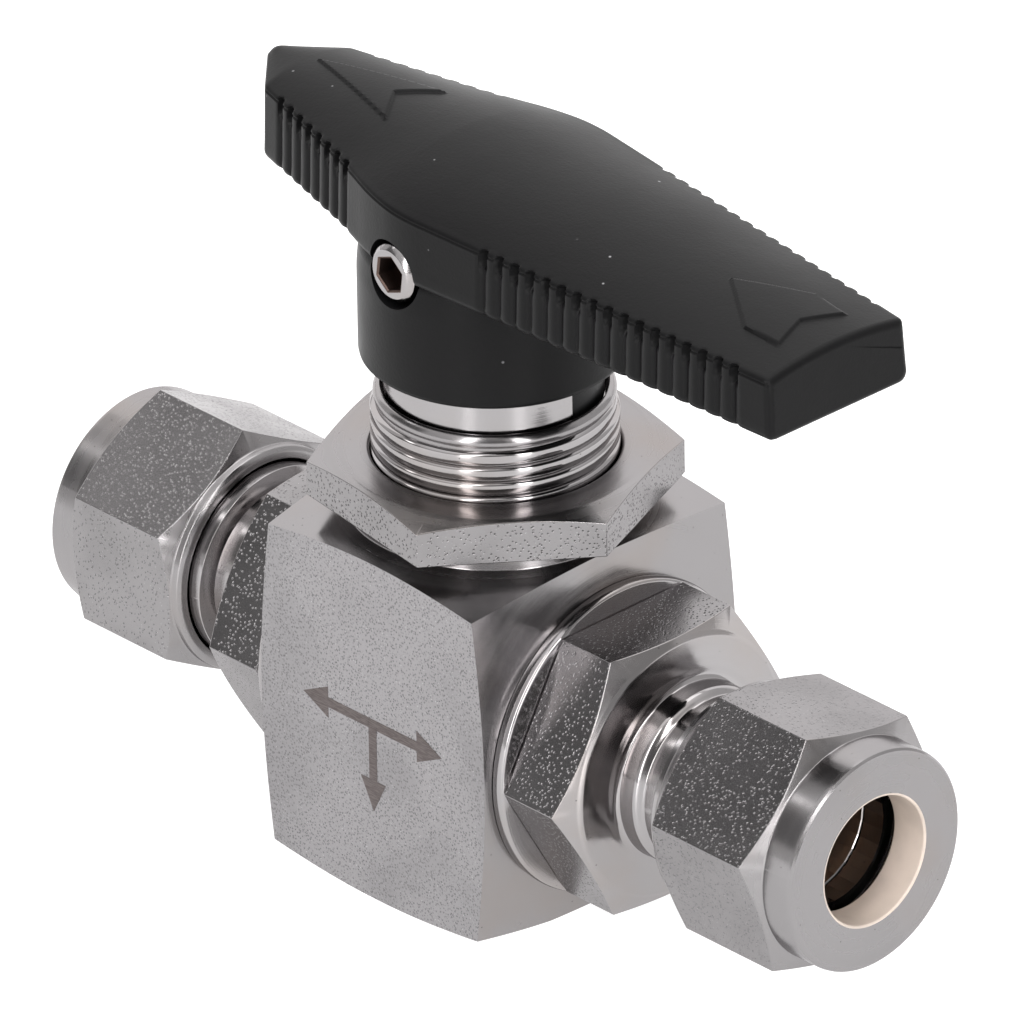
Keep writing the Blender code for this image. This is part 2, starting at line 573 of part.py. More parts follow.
def make_handle(parts, tools):
    sections = [(x, handle_section(x, groove)) for x, groove in handle_stations()]
    count = len(sections[0][1])
    verts = [(x, y, z) for x, section in sections for y, z in section]
    faces = [tuple(range(count)), tuple(range(len(verts) - count, len(verts)))]
    for i in range(len(sections) - 1):
        for k in range(count):
            n = (k + 1) % count
            faces.append((count * i + k, count * i + n, count * i + count + n,
                          count * i + count + k))
    handle = add_object("handle", mesh_from("handle", verts, faces), parts, NYLON)
    hub = turned("join_handle_hub",
                 [(0.0, ARM_Z + 3 * MM), (6.0 * MM, ARM_Z + 3 * MM), (HUB_R, ARM_Z + 0.6 * MM),
                  (HUB_R, HUB_Z + 0.8 * MM), (HUB_R - 0.25 * MM, HUB_Z + 0.25 * MM),
                  (HUB_R - 0.8 * MM, HUB_Z), (0.0, HUB_Z)], tools, closed=False)
    lug = ring_sector("join_handle_lug", 6.75 * MM, 8.35 * MM, LUG_ARC, LUG_Z,
                      HUB_Z + MM, tools)
    bore = turned("cut_handle_bore",
                  [(0.0, STEM_TOP + GAP), (STEM_R + GAP, STEM_TOP + GAP),
                   (STEM_R + GAP, HUB_Z - MM), (0.0, HUB_Z - MM)], tools, closed=False, steps=48)
    screw_hole = turned("cut_set_screw_hole",
                        [(0.0, 16 * MM), (SET_SCREW_R + GAP, 16 * MM),
                         (SET_SCREW_R + GAP, 1.5 * MM), (0.0, 1.5 * MM)],
                        tools, closed=False, steps=32)
    screw_hole.location = (0.0, 0.0, SET_SCREW_Z)
    screw_hole.rotation_euler = (pi / 2, 0.0, 0.0)
    cut(handle, hub, "UNION")
    cut(handle, lug, "UNION")
    cut(handle, bore)
    cut(handle, screw_hole)
    make_set_screw(parts, tools)


def make_set_screw(parts, tools):
    face, tip = -SET_SCREW_FACE, 3.0 * MM
    screw = turned("handle_set_screw",
                   [(0.0, face), (2.05 * MM, face), (SET_SCREW_R, face - 0.35 * MM),
                    (SET_SCREW_R, tip + MM), (1.3 * MM, tip), (0.0, tip)],
                   parts, BRIGHT_STEEL, closed=False, steps=32)
    socket = hex_prism("cut_set_screw_socket", 2.5 * MM, face - 2.5 * MM, face + MM, 30.0, tools)
    for item in (screw, socket):
        item.location = (0.0, 0.0, SET_SCREW_Z)
        item.rotation_euler = (pi / 2, 0.0, 0.0)
    cut(screw, socket)


def tidy_shading(parts):
    for item in parts.objects:
        if item.modifiers and item.modifiers[0].type == "SCREW":
            continue
        for polygon in item.data.polygons:
            polygon.use_smooth = False


def main():
    clear_scene()
    parts = new_collection("three_way_valve")
    tools = new_collection("three_way_valve_cutters")
    make_body(parts, tools)
    make_panel_nut(parts, tools)
    make_side(1, "right", RIGHT_NUT_TURN, parts, tools)
    make_side(-1, "left", LEFT_NUT_TURN, parts, tools)
    make_ball(parts, tools)
    make_stem(parts, tools)
    make_packing(parts, tools)
    make_stop_collar(parts)
    make_handle(parts, tools)
    tidy_shading(parts)
    for tool in tools.objects:
        tool.hide_render = True
        tool.display_type = "WIRE"


main()
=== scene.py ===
from math import atan, cos, pi, radians, sin, sqrt, tan

import bmesh
import bpy
import numpy as np
from mathutils import Matrix, Vector


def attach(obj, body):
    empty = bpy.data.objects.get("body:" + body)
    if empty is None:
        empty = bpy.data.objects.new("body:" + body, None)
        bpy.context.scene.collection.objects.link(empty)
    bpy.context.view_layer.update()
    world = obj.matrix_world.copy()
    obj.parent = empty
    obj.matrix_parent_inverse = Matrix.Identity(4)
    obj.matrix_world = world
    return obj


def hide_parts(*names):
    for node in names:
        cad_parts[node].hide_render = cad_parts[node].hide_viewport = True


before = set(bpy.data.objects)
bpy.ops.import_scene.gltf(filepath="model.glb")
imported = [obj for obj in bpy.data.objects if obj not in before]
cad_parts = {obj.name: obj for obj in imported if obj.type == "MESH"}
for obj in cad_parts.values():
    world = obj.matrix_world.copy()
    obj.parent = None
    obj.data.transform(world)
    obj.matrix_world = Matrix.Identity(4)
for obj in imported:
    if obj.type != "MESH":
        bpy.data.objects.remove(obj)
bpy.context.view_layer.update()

MM = 0.001
AXIS_Z = 14.3 * MM                       # height of the port axis
STEM_AXIS = ((0.0, 0.0, 1.0), (0.0, 0.0, 0.0))
PORT_AXIS = ((1.0, 0.0, 0.0), (0.0, 0.0, AXIS_Z))
SCREW_TURN = radians(3.0)                # the set screw turns with the lever
SCREW_AXIS = ((sin(SCREW_TURN), cos(SCREW_TURN), 0.0), (0.0, 0.0, AXIS_Z + 38.3 * MM))

# ---- tones of the finishes ---------------------------------------------------------------
STEEL_TINT = (0.290, 0.281, 0.284)
BRIGHT_TINT = (0.345, 0.334, 0.337)
GRAZING_TINT = (0.78, 0.77, 0.775)       # how far steel brightens at grazing angles
DRAWN_TINT = (0.275, 0.267, 0.270)
MILLED_TINT = (0.315, 0.306, 0.312)
# painted reflection: the cream light mirrored by the tube nuts' bore wall at the mouth
MOUTH_REFLECTION_TINT = (0.62, 0.53, 0.46)
NYLON_TINT = (0.0045, 0.0045, 0.0048)
PTFE_TINT = (0.82, 0.80, 0.75)
RUBBER_TINT = (0.022, 0.022, 0.023)
SPRING_TINT = (0.30, 0.29, 0.30)
BORE_TINT = (0.62, 0.50, 0.40)
# painted shade: the inside of the set screw's hex socket is darkened for the shade that falls in it
SOCKET_SHADE_TINT = (0.10, 0.07, 0.06)
SPOT_TINT = (0.10, 0.09, 0.09)           # rare dark spots on turned steel
# painted shade inside the pits of drawn steel, and painted glints on the pits that catch the light
PIT_SHADE_TINT = (0.05, 0.048, 0.05)           # inside the pits of drawn steel
SPECK_GLINT_TINT = (0.55, 0.54, 0.55)          # pits that catch the light
DUST_TINT = (0.34, 0.34, 0.35)
OXIDE_DARK, OXIDE_LIGHT = (0.060, 0.046, 0.044), (0.125, 0.105, 0.102)


# ==== material graphs =====================================================================
class Graph:
    """A node tree being built: add nodes by short name and link sockets into them."""

    def __init__(self, tree):
        self.tree = tree
        tree.nodes.clear()

    def node(self, kind, inputs=None, **settings):
        made = self.tree.nodes.new("ShaderNode" + kind)
        for key, value in settings.items():
            setattr(made, key, value)
        for key, value in (inputs or {}).items():
            self.feed(made.inputs[key], value)
        return made

    def feed(self, socket, value):
        if isinstance(value, bpy.types.NodeSocket):
            self.tree.links.new(value, socket)
        elif hasattr(socket.default_value, "__len__") and len(value) == 3 and len(
                socket.default_value) == 4:
            socket.default_value = (*value, 1.0)
        else:
            socket.default_value = value

    def math(self, operation, a, b=0.0, clamp=False):
        made = self.node("Math", {0: a, 1: b}, operation=operation, use_clamp=clamp)
        return made.outputs[0]

    def vector(self, operation, a, b=None):
        made = self.node("VectorMath", {0: a}, operation=operation)
        if b is not None:
            self.feed(made.inputs[1], b)
        return made.outputs[1 if operation in ("LENGTH", "DOT_PRODUCT") else 0]

    def noise(self, where, scale, detail=2.0, rough=0.5):
        made = self.node("TexNoise", {"Vector": where, "Scale": scale, "Detail": detail,
                                      "Roughness": rough})
        return made.outputs["Fac"]

    def spots(self, where, scale, low, high):
        """1 inside small round spots scattered through space, 0 between them."""
        made = self.node("TexVoronoi", {"Vector": where, "Scale": scale})
        return self.ramp(made.outputs["Distance"], low, high, 1.0, 0.0)

    def ramp(self, value, low, high, start=0.0, end=1.0):
        made = self.node("MapRange", {"Value": value, "From Min": low, "From Max": high,
                                      "To Min": start, "To Max": end},
                         interpolation_type="SMOOTHSTEP")
        return made.outputs["Result"]

    def mix(self, share, a, b):
        made = self.node("Mix", data_type="RGBA")
        self.feed(made.inputs[0], share)
        self.feed(made.inputs[6], a)
        self.feed(made.inputs[7], b)
        return made.outputs[2]

    def bump(self, height, distance):
        inputs = {"Height": height, "Distance": distance, "Strength": 1.0}
        return self.node("Bump", inputs).outputs["Normal"]

    def place(self):
        return self.node("TexCoord").outputs["Object"]


def new_material(name):
    made = bpy.data.materials.new(name)
    made.use_nodes = True
    return made, Graph(made.node_tree)


def finish_material(graph, shader):
    out = graph.node("OutputMaterial")
    graph.tree.links.new(shader.outputs["BSDF"], out.inputs["Surface"])


def worn_edges(graph, low=0.51, high=0.56):
    """1 on outward edges, where handling has polished the surface."""
    return graph.ramp(graph.node("NewGeometry").outputs["Pointiness"], low, high)


def lathe_marks(graph, place, axis, centre, fine=5200.0):
    """Circular tool marks round an axis, and the direction in which they run."""
    from_centre = graph.vector("SUBTRACT", place, centre)
    along = graph.vector("DOT_PRODUCT", from_centre, axis)
    around = graph.vector("CROSS_PRODUCT", axis, from_centre)
    radius = graph.vector("LENGTH", around)
    waver = graph.math("MULTIPLY", graph.noise(place, 60.0, 1.0), 0.00025)
    lane = graph.node("CombineXYZ", {"X": graph.math("ADD", radius, waver),
                                     "Y": graph.math("ADD", along, waver)}).outputs[0]
    marks = graph.noise(lane, fine, 3.0, 0.65)
    bands = graph.noise(lane, fine / 9.0, 2.0)
    run = graph.node("VectorTransform", {"Vector": around}, vector_type="VECTOR",
                     convert_from="OBJECT", convert_to="WORLD").outputs[0]
    return marks, bands, graph.vector("NORMALIZE", run)


def turned_steel(name, axis, tint=STEEL_TINT, rough=0.24, stretch=0.75, cut=0.0000035):
    """Stainless steel finished on a lathe, bright and drawn out across its tool marks."""
    made, graph = new_material(name)
    place = graph.place()
    marks, bands, run = lathe_marks(graph, place, *axis)
    cloud = graph.noise(place, 210.0, 3.0)
    stain = graph.ramp(graph.noise(place, 95.0, 4.0), 0.45, 0.75)
    warm = tuple(c * f for c, f in zip(tint, (1.0, 0.955, 0.915)))
    colour = graph.mix(stain, tint, warm)
    colour = graph.mix(graph.spots(place, 900.0, 0.02, 0.07), colour, SPOT_TINT)
    uneven = graph.math("ADD", graph.ramp(bands, 0.3, 0.7, -0.05, 0.05),
                        graph.ramp(cloud, 0.3, 0.7, rough - 0.03, rough + 0.04))
    polish = graph.math("MULTIPLY", worn_edges(graph), -0.06)
    shader = graph.node("BsdfPrincipled", {
        "Base Color": colour, "Metallic": 1.0, "Specular Tint": GRAZING_TINT,
        "Roughness": graph.math("ADD", uneven, polish, clamp=True),
        "Anisotropic": stretch, "Anisotropic Rotation": 0.25, "Tangent": run,
        "Normal": graph.bump(marks, cut)})
    finish_material(graph, shader)
    return made


def drawn_steel(name, tint=STEEL_TINT, rough=0.30, pit=0.00001, grain=2400.0, share=0.5,
                pit_shade=0.38):
    """Cold drawn bar stock: a satin skin broken by fine pits, darkened inside with painted shade,
    and a few painted glints where pits catch the light.
    """
    made, graph = new_material(name)
    place = graph.place()
    pits = graph.spots(place, grain, 0.10 * share, 0.62 * share)
    rare = graph.ramp(graph.noise(place, grain * 0.4, 1.0), 0.50, 0.60)
    painted_glints = graph.math("MULTIPLY", rare, graph.spots(
        graph.vector("ADD", place, (0.013, 0.007, 0.019)), grain * 0.9, 0.05, 0.34 * share))
    fine = graph.noise(place, grain * 4.0, 2.0)
    cloud = graph.noise(place, 130.0, 4.0)
    colour = graph.mix(graph.ramp(cloud, 0.4, 0.7), tint, tuple(c * 0.88 for c in tint))
    # painted shade darkens the pits, and painted glints lighten a few others
    colour = graph.mix(graph.math("MULTIPLY", pits, pit_shade), colour, PIT_SHADE_TINT)
    colour = graph.mix(graph.math("MULTIPLY", painted_glints, 0.5), colour, SPECK_GLINT_TINT)
    skin = graph.ramp(cloud, 0.3, 0.75, rough - 0.04, rough + 0.06)
    polish = graph.math("MULTIPLY", worn_edges(graph), -0.08)
    height = graph.math("ADD", graph.math("MULTIPLY", pits, -1.0),
                        graph.math("MULTIPLY", fine, 0.10))
    shader = graph.node("BsdfPrincipled", {
        "Base Color": colour, "Metallic": 1.0, "Specular Tint": GRAZING_TINT,
        "Roughness": graph.math("ADD", skin, polish, clamp=True),
        "Normal": graph.bump(height, pit)})
    finish_material(graph, shader)
    return made


def moulded_nylon(name):
    """Black glass-filled nylon with a spark-eroded grain, dust and rubbed edges."""
    made, graph = new_material(name)
    place = graph.place()
    grain = graph.noise(place, 3600.0, 3.0, 0.6)
    swell = graph.noise(place, 420.0, 2.0)
    cloud = graph.noise(place, 70.0, 3.0)
    dust = graph.math("MULTIPLY", graph.spots(place, 330.0, 0.015, 0.05),
                      graph.ramp(graph.noise(place, 180.0), 0.5, 0.62))
    rubbed = graph.math("MULTIPLY", worn_edges(graph, 0.505, 0.56), 0.5)
    colour = graph.mix(rubbed, NYLON_TINT, tuple(c * 1.3 for c in NYLON_TINT))
    colour = graph.mix(dust, colour, DUST_TINT)
    height = graph.math("ADD", grain, graph.math("MULTIPLY", swell, 1.6))
    shader = graph.node("BsdfPrincipled", {
        "Base Color": colour, "Specular IOR Level": 0.13,
        "Roughness": graph.ramp(cloud, 0.3, 0.7, 0.34, 0.42),
        "Normal": graph.bump(height, 0.000012)})
    finish_material(graph, shader)
    return made


def dark_oxide(name):
    """The brown-grey oxide that a laser leaves on stainless steel, with fine scan lines."""
    made, graph = new_material(name)
    place = graph.place()
    lines = graph.noise(graph.vector("MULTIPLY", place, (1.0, 1.0, 14.0)), 1400.0, 1.0)
    colour = graph.mix(graph.ramp(lines, 0.35, 0.65), OXIDE_DARK, OXIDE_LIGHT)
    shader = graph.node("BsdfPrincipled", {
        "Base Color": colour, "Metallic": 0.35,
        "Roughness": graph.ramp(lines, 0.3, 0.7, 0.42, 0.6),
        "Normal": graph.bump(lines, 0.000006)})
    finish_material(graph, shader)
    return made


def soft_polymer(name, tint, rough, sheen, grain=2600.0):
    """A seal or seat ring, and also the painted reflection in the tube nuts' mouths: fine machining
    grain and a slightly mottled tone.
    """
    made, graph = new_material(name)
    place = graph.place()
    mottle = graph.noise(place, 320.0, 3.0)
    colour = graph.mix(graph.ramp(mottle, 0.35, 0.7), tint, tuple(c * 0.86 for c in tint))
    shader = graph.node("BsdfPrincipled", {
        "Base Color": colour, "Specular IOR Level": sheen,
        "Roughness": graph.ramp(mottle, 0.3, 0.7, rough - 0.05, rough + 0.05),
        "Normal": graph.bump(graph.noise(place, grain, 3.0), 0.000008)})
    finish_material(graph, shader)
    return made


# ==== turned and hexagonal pieces =========================================================
def soften(outline, closed, steps=4):
    """Round the corners of an outline of (radius, height, fillet, slot) points."""
    points, slots, count = [], [], len(outline)
    flat = [Vector(p[:2]) for p in outline]
    for i, (_, _, fillet, slot) in enumerate(outline):
        here = flat[i]
        if fillet <= 0.0 or (not closed and i in (0, count - 1)):
            points.append(here)
            slots.append(slot)
            continue
        back, ahead = flat[i - 1] - here, flat[(i + 1) % count] - here
        reach = min(fillet, 0.45 * back.length, 0.45 * ahead.length)
        start, end = here + back.normalized() * reach, here + ahead.normalized() * reach
        for k in range(steps):
            t = k / (steps - 1)
            points.append(start * (1 - t) ** 2 + here * (2 * t * (1 - t)) + end * t * t)
            slots.append(slot if k == steps - 1 else outline[i - 1][3])
    return points, slots


def basis_for(axis, side=1, turn=0.0):
    """Matrix whose columns are a corner's direction, the next quarter turn and the axis."""
    if axis == "Z":
        outward, corner = Vector((0, 0, 1)), Vector((cos(turn), sin(turn), 0))
        origin = Vector((0, 0, 0))
    elif axis == "X":
        outward, corner = Vector((side, 0, 0)), Vector((0, cos(turn), sin(turn)))
        origin = Vector((0, 0, AXIS_Z))
    else:
        outward = -Vector(SCREW_AXIS[0])
        level = Vector((0, 0, 1)).cross(outward)
        corner = level * cos(turn) + Vector((0, 0, sin(turn)))
        origin = Vector(SCREW_AXIS[1])
    rows = Matrix((corner, outward.cross(corner), outward)).transposed()
    return Matrix.Translation(origin) @ rows.to_4x4()


def close_up(built):
    bmesh.ops.remove_doubles(built, verts=built.verts, dist=1e-8)
    bmesh.ops.recalc_face_normals(built, faces=built.faces)


def object_from(name, built, materials):
    mesh = bpy.data.meshes.new(name)
    built.to_mesh(mesh)
    built.free()
    for material in materials:
        mesh.materials.append(material)
    made = bpy.data.objects.new(name, mesh)
    bpy.context.scene.collection.objects.link(made)
    return made


def lathe(name, outline, materials, angles=None, basis=None, closed=True):
    """Sweep an outline round an axis. The outline may depend on the angle, for a hexagon."""
    angles = angles if angles is not None else [2 * pi * k / 160 for k in range(160)]
    basis = basis or basis_for("Z")
    built = bmesh.new()
    rings, slots = [], []
    for angle in angles:
        points, slots = soften(outline(angle), closed)
        rings.append([built.verts.new(basis @ Vector((r * cos(angle), r * sin(angle), h)))
                      for r, h in points])
    span = len(slots) if closed else len(slots) - 1
    for i, ring in enumerate(rings):
        after = rings[(i + 1) % len(rings)]
        for k in range(span):
            n = (k + 1) % len(ring)
            built.faces.new((ring[k], ring[n], after[n], after[k])).material_index = slots[k]
    close_up(built)
    return object_from(name, built, materials)


def shade(item, sharp=32.0, weighted=True):
    """Smooth shading that keeps true edges sharp and true flats flat."""
    item.data.shade_smooth()
    item.data.set_sharp_from_angle(angle=radians(sharp))
    if weighted:
        step = item.modifiers.new("flat_faces_stay_flat", "WEIGHTED_NORMAL")
        step.keep_sharp = True
        step.weight = 80
    return item


def hex_reach(apothem, corner, angle):
    """Distance to a hexagon with rounded corners, one corner lying at angle 0."""
    off = abs((angle + pi / 6) % (pi / 3) - pi / 6)
    centre = (apothem - corner) / cos(pi / 6)
    limit = pi / 6 - atan((apothem - corner) * tan(pi / 6) / apothem)
    if off > limit:
        return apothem / cos(pi / 6 - off)
    return centre * cos(off) + sqrt(corner ** 2 - (centre * sin(off)) ** 2)


def hex_angles(apothem, corner, along=22, round_corner=4):
    """Angles that follow six flats and six small corner roundings."""
    limit = pi / 6 - atan((apothem - corner) * tan(pi / 6) / apothem)
    one = [limit * (2 * k / round_corner - 1) for k in range(round_corner)]
    one += [limit + (pi / 3 - 2 * limit) * k / along for k in range(along)]
    return [pi / 3 * side + a for side in range(6) for a in one]


def band(inner, outer):
    """A straight line through two (radius, height) points, as a height for any radius."""
    slope = (outer[1] - inner[1]) / (outer[0] - inner[0])
    return lambda r: inner[1] + (r - inner[0]) * slope


# ---- tube nuts ---------------------------------------------------------------------------
NUT_APOTHEM = 9.43 * MM
NUT_CORNER = 0.10 * MM
NUT_FACE, NUT_SHOULDER, NUT_END = 40.75 * MM, 37.85 * MM, 26.0 * MM
NUT_MOUTH_R, NUT_COLLAR_R, NUT_THREAD_R = 5.22 * MM, 9.05 * MM, 8.2 * MM
NUT_FRONT = band((NUT_COLLAR_R, NUT_SHOULDER), (10.99 * MM, 36.95 * MM))
NUT_BACK = band((9.25 * MM, 26.85 * MM), (10.99 * MM, 27.75 * MM))
NUT_TURNS = (("right", 1, -11.4), ("left", -1, -27.0))   # degrees each nut is turned to


def tube_nut_outline(angle):
    """Radius and distance from the ball: slot 0 turned, 1 drawn flats, 2 the bore wall at the mouth,
    coloured cream as a painted reflection.
    """
    reach = hex_reach(NUT_APOTHEM, NUT_CORNER, angle)
    return [(NUT_MOUTH_R, NUT_FACE, 0.22 * MM, 0), (NUT_COLLAR_R, NUT_FACE, 0.50 * MM, 0),
            (NUT_COLLAR_R, NUT_SHOULDER, 0.10 * MM, 0),
            (reach, NUT_FRONT(reach), 0.07 * MM, 1), (reach, NUT_BACK(reach), 0.07 * MM, 0),
            (9.25 * MM, 26.85 * MM, 0.12 * MM, 0), (9.2 * MM, 26.3 * MM, 0.10 * MM, 0),
            (8.85 * MM, NUT_END, 0.12 * MM, 0), (8.3 * MM, NUT_END, 0.08 * MM, 0),
            (NUT_THREAD_R, 26.12 * MM, 0.0, 0), (NUT_THREAD_R, 34.8 * MM, 0.0, 0),
            (7.1 * MM, 34.8 * MM, 0.0, 0), (7.1 * MM, 35.6 * MM, 0.0, 0),
            (NUT_MOUTH_R, 37.5 * MM, 0.08 * MM, 2)]


def make_tube_nut(word, side, turn, materials):
    nut = lathe("machined_tube_nut_" + word, tube_nut_outline, materials,
                hex_angles(NUT_APOTHEM, NUT_CORNER), basis_for("X", side, radians(turn)))
    shade(nut)
    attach(nut, word + "_nut")
    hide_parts("tube_nut_" + word)


# ---- end connectors ----------------------------------------------------------------------
CONNECTOR_APOTHEM = 10.95 * MM
CONNECTOR_CORNER = 0.10 * MM
CONNECTOR_FRONT = band((10.8 * MM, 19.68 * MM), (12.65 * MM, 18.88 * MM))
FLANGE_R, FLANGE_BASE = 12.66 * MM, 12.44 * MM
FITTING_R = 8.08 * MM                    # the end that the tube nut runs on
SHANK_R, SHANK_END = 8.5 * MM, 9.0 * MM  # the end that is screwed into the body
FLOW_R, TUBE_R, TUBE_STOP = 3.5 * MM, 5.15 * MM, 26.2 * MM


def connector_outline(angle):
    """Radius and distance from the ball: slots 0 and 2 turned, 1 hexagon flats, 3 bored."""
    reach = hex_reach(CONNECTOR_APOTHEM, CONNECTOR_CORNER, angle)
    return [(7.5 * MM, 33.8 * MM, 0.0, 0), (FITTING_R, 33.4 * MM, 0.0, 0),
            (FITTING_R, 24.9 * MM, 0.06 * MM, 0), (6.75 * MM, 24.6 * MM, 0.0, 0),
            (6.75 * MM, 22.75 * MM, 0.12 * MM, 0), (7.05 * MM, 22.45 * MM, 0.14 * MM, 0),
            (7.25 * MM, 22.15 * MM, 0.16 * MM, 0), (7.25 * MM, 20.62 * MM, 0.12 * MM, 0),
            (7.62 * MM, 20.42 * MM, 0.16 * MM, 0), (8.2 * MM, 20.36 * MM, 0.20 * MM, 0),
            (10.45 * MM, 19.88 * MM, 0.14 * MM, 0), (10.80 * MM, 19.68 * MM, 0.08 * MM, 0),
            (reach, CONNECTOR_FRONT(reach), 0.07 * MM, 1), (reach, 13.75 * MM, 0.05 * MM, 2),
            (reach - 0.22 * MM, 13.62 * MM, 0.0, 2),
            (FLANGE_R - 0.02 * MM, 13.50 * MM, 0.20 * MM, 2),
            (FLANGE_R + 0.1 * MM, 13.05 * MM, 0.16 * MM, 2),
            (FLANGE_R, FLANGE_BASE, 0.06 * MM, 0), (SHANK_R, FLANGE_BASE, 0.0, 0),
            (SHANK_R, SHANK_END, 0.0, 0), (FLOW_R, SHANK_END, 0.0, 3),
            (FLOW_R, TUBE_STOP, 0.0, 3), (TUBE_R, TUBE_STOP, 0.0, 3),
            (TUBE_R, 31.2 * MM, 0.0, 3)]


def make_connector(word, side, materials):
    piece = lathe("machined_connector_" + word, connector_outline, materials,
                  hex_angles(CONNECTOR_APOTHEM, CONNECTOR_CORNER), basis_for("X", side))
    shade(piece)
    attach(piece, "valve")
    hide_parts("end_connector_" + word)


# ---- panel nut ---------------------------------------------------------------------------
PANEL_APOTHEM = 12.5 * MM
PANEL_CORNER = 0.12 * MM
PANEL_TOP = AXIS_Z + 20.2 * MM
PANEL_BOTTOM = AXIS_Z + 16.6 * MM
PANEL_FACE_R, PANEL_BORE_R = 12.0 * MM, 9.6 * MM
PANEL_CONE = band((PANEL_FACE_R, PANEL_TOP), (14.43 * MM, PANEL_TOP - 0.72 * MM))
PANEL_TURN = radians(-8.3)


def panel_nut_outline(angle):
    """Radius and height: slot 0 turned, 1 drawn flats."""
    reach = hex_reach(PANEL_APOTHEM, PANEL_CORNER, angle)
    return [(9.76 * MM, PANEL_TOP, 0.12 * MM, 0), (PANEL_FACE_R, PANEL_TOP, 0.10 * MM, 0),
            (reach, PANEL_CONE(reach), 0.08 * MM, 1),
            (reach, PANEL_BOTTOM + 0.05 * MM, 0.08 * MM, 0),
            (reach - 0.25 * MM, PANEL_BOTTOM, 0.06 * MM, 0),
            (10.0 * MM, PANEL_BOTTOM, 0.10 * MM, 0),
            (PANEL_BORE_R, PANEL_BOTTOM + 0.3 * MM, 0.0, 0),
            (PANEL_BORE_R, PANEL_TOP - 0.2 * MM, 0.0, 0)]


def make_panel_nut(materials):
    nut = lathe("machined_panel_nut", panel_nut_outline, materials,
                hex_angles(PANEL_APOTHEM, PANEL_CORNER), basis_for("Z", turn=PANEL_TURN))
    shade(nut)
    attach(nut, "mounting_nut")
    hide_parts("panel_nut")


# ==== body block ==========================================================================
BODY_HALF_Y = 13.35 * MM
THREAD_ROOT = 9.10 * MM
THREAD_CREST = 9.50 * MM
NECK_TOP = AXIS_Z + 25.6 * MM
NECK_BAND_R = 9.28 * MM                  # plain band between the thread and the top
SHOULDER, SEAT_TOP, SEAT_R = AXIS_Z + 15.2 * MM, AXIS_Z + 16.5 * MM, 11.5 * MM
COLLAR_POCKET_R, COLLAR_FLOOR = 8.75 * MM, AXIS_Z + 22.7 * MM
PACKING_R, PACKING_FLOOR = 5.5 * MM, AXIS_Z + 12.4 * MM
STEM_BORE_R, STEM_POCKET_TOP = 3.35 * MM, AXIS_Z + 9.9 * MM
STEM_POCKET_R, STEM_POCKET_FLOOR = 4.8 * MM, AXIS_Z + 5 * MM


def round_profile(*points):
    """An outline with the same fillet-free shape at every angle."""
    rows = [(r, h, 0.0, 0) for r, h in points]
    return lambda angle: rows


def stem_turning():
    """What a lathe leaves round the stem: neck, nut seat, sloped shoulder and base."""
    far, base = 24 * MM, 2.1 * MM
    rows = [(0.0, NECK_TOP, 0.0, 0), (8.95 * MM, NECK_TOP, 0.30 * MM, 0),
            (NECK_BAND_R, NECK_TOP - 0.45 * MM, 0.22 * MM, 0),
            (NECK_BAND_R, AXIS_Z + 24.85 * MM, 0.12 * MM, 0),
            (THREAD_ROOT, AXIS_Z + 24.5 * MM, 0.0, 0), (THREAD_ROOT, SEAT_TOP, 0.0, 0),
            (SEAT_R, SEAT_TOP, 0.0, 0), (SEAT_R, SHOULDER + 0.2 * MM, 0.10 * MM, 0),
            (12.3 * MM, SHOULDER, 0.20 * MM, 0),
            (far, SHOULDER - (far - 12.2 * MM) * 0.22, 0.0, 0), (far, base, 0.0, 0),
            (13.4 * MM, 0.0, 0.0, 0), (0.0, 0.0, 0.0, 0)]
    return lambda angle: rows


def port_turning():
    """What a lathe leaves round the ports: two end faces that slope away from their rims."""
    far, face = 30 * MM, 12.4 * MM
    reach = face - (far - 12.8 * MM) * 0.19
    return round_profile((0.0, face), (12.8 * MM, face), (far, reach), (far, -reach),
                         (12.8 * MM, -face), (0.0, -face))


def stem_bore():
    """The collar's pocket, the packing chamber, the stem's bore and its inner pocket."""
    top = NECK_TOP + 3 * MM
    return round_profile(
        (0.0, top), (COLLAR_POCKET_R, top), (COLLAR_POCKET_R, COLLAR_FLOOR),
        (PACKING_R, COLLAR_FLOOR), (PACKING_R, PACKING_FLOOR), (STEM_BORE_R, PACKING_FLOOR),
        (STEM_BORE_R, STEM_POCKET_TOP), (STEM_POCKET_R, STEM_POCKET_TOP),
        (STEM_POCKET_R, STEM_POCKET_FLOOR), (0.0, STEM_POCKET_FLOOR))


def base_port():
    """The threaded port in the base, with rings standing in for its pipe thread."""
    mouth, top, pitch = 4.95 * MM, AXIS_Z - 8.2 * MM, 0.9 * MM
    points = [(0.0, AXIS_Z - 6 * MM), (3.2 * MM, AXIS_Z - 6 * MM), (3.2 * MM, top),
              (4.5 * MM, top)]
    for k in range(5, 0, -1):
        z = 0.75 * MM + k * pitch
        points += [(mouth - 0.30 * MM, z), (mouth, z - pitch / 2)]
    points += [(mouth, 0.7 * MM), (mouth + 0.75 * MM, 0.0), (mouth + 0.75 * MM, -MM), (0.0, -MM)]
    return round_profile(*points)


def port_bore():
    """The bore from end to end, wider where the connectors are screwed in."""
    end, seat, wide, narrow = 14 * MM, 8.7 * MM, 8.8 * MM, 7.8 * MM
    return round_profile((0.0, end), (wide, end), (wide, seat), (narrow, seat),
                         (narrow, -seat), (wide, -seat), (wide, -end), (0.0, -end))


def block(name, low, high, material):
    built = bmesh.new()
    bmesh.ops.create_cube(built, size=1.0)
    middle, size = (Vector(low) + Vector(high)) / 2, Vector(high) - Vector(low)
    bmesh.ops.transform(built, matrix=Matrix.Translation(middle) @ Matrix.Diagonal((*size, 1)),
                        verts=built.verts)
    return object_from(name, built, [material])


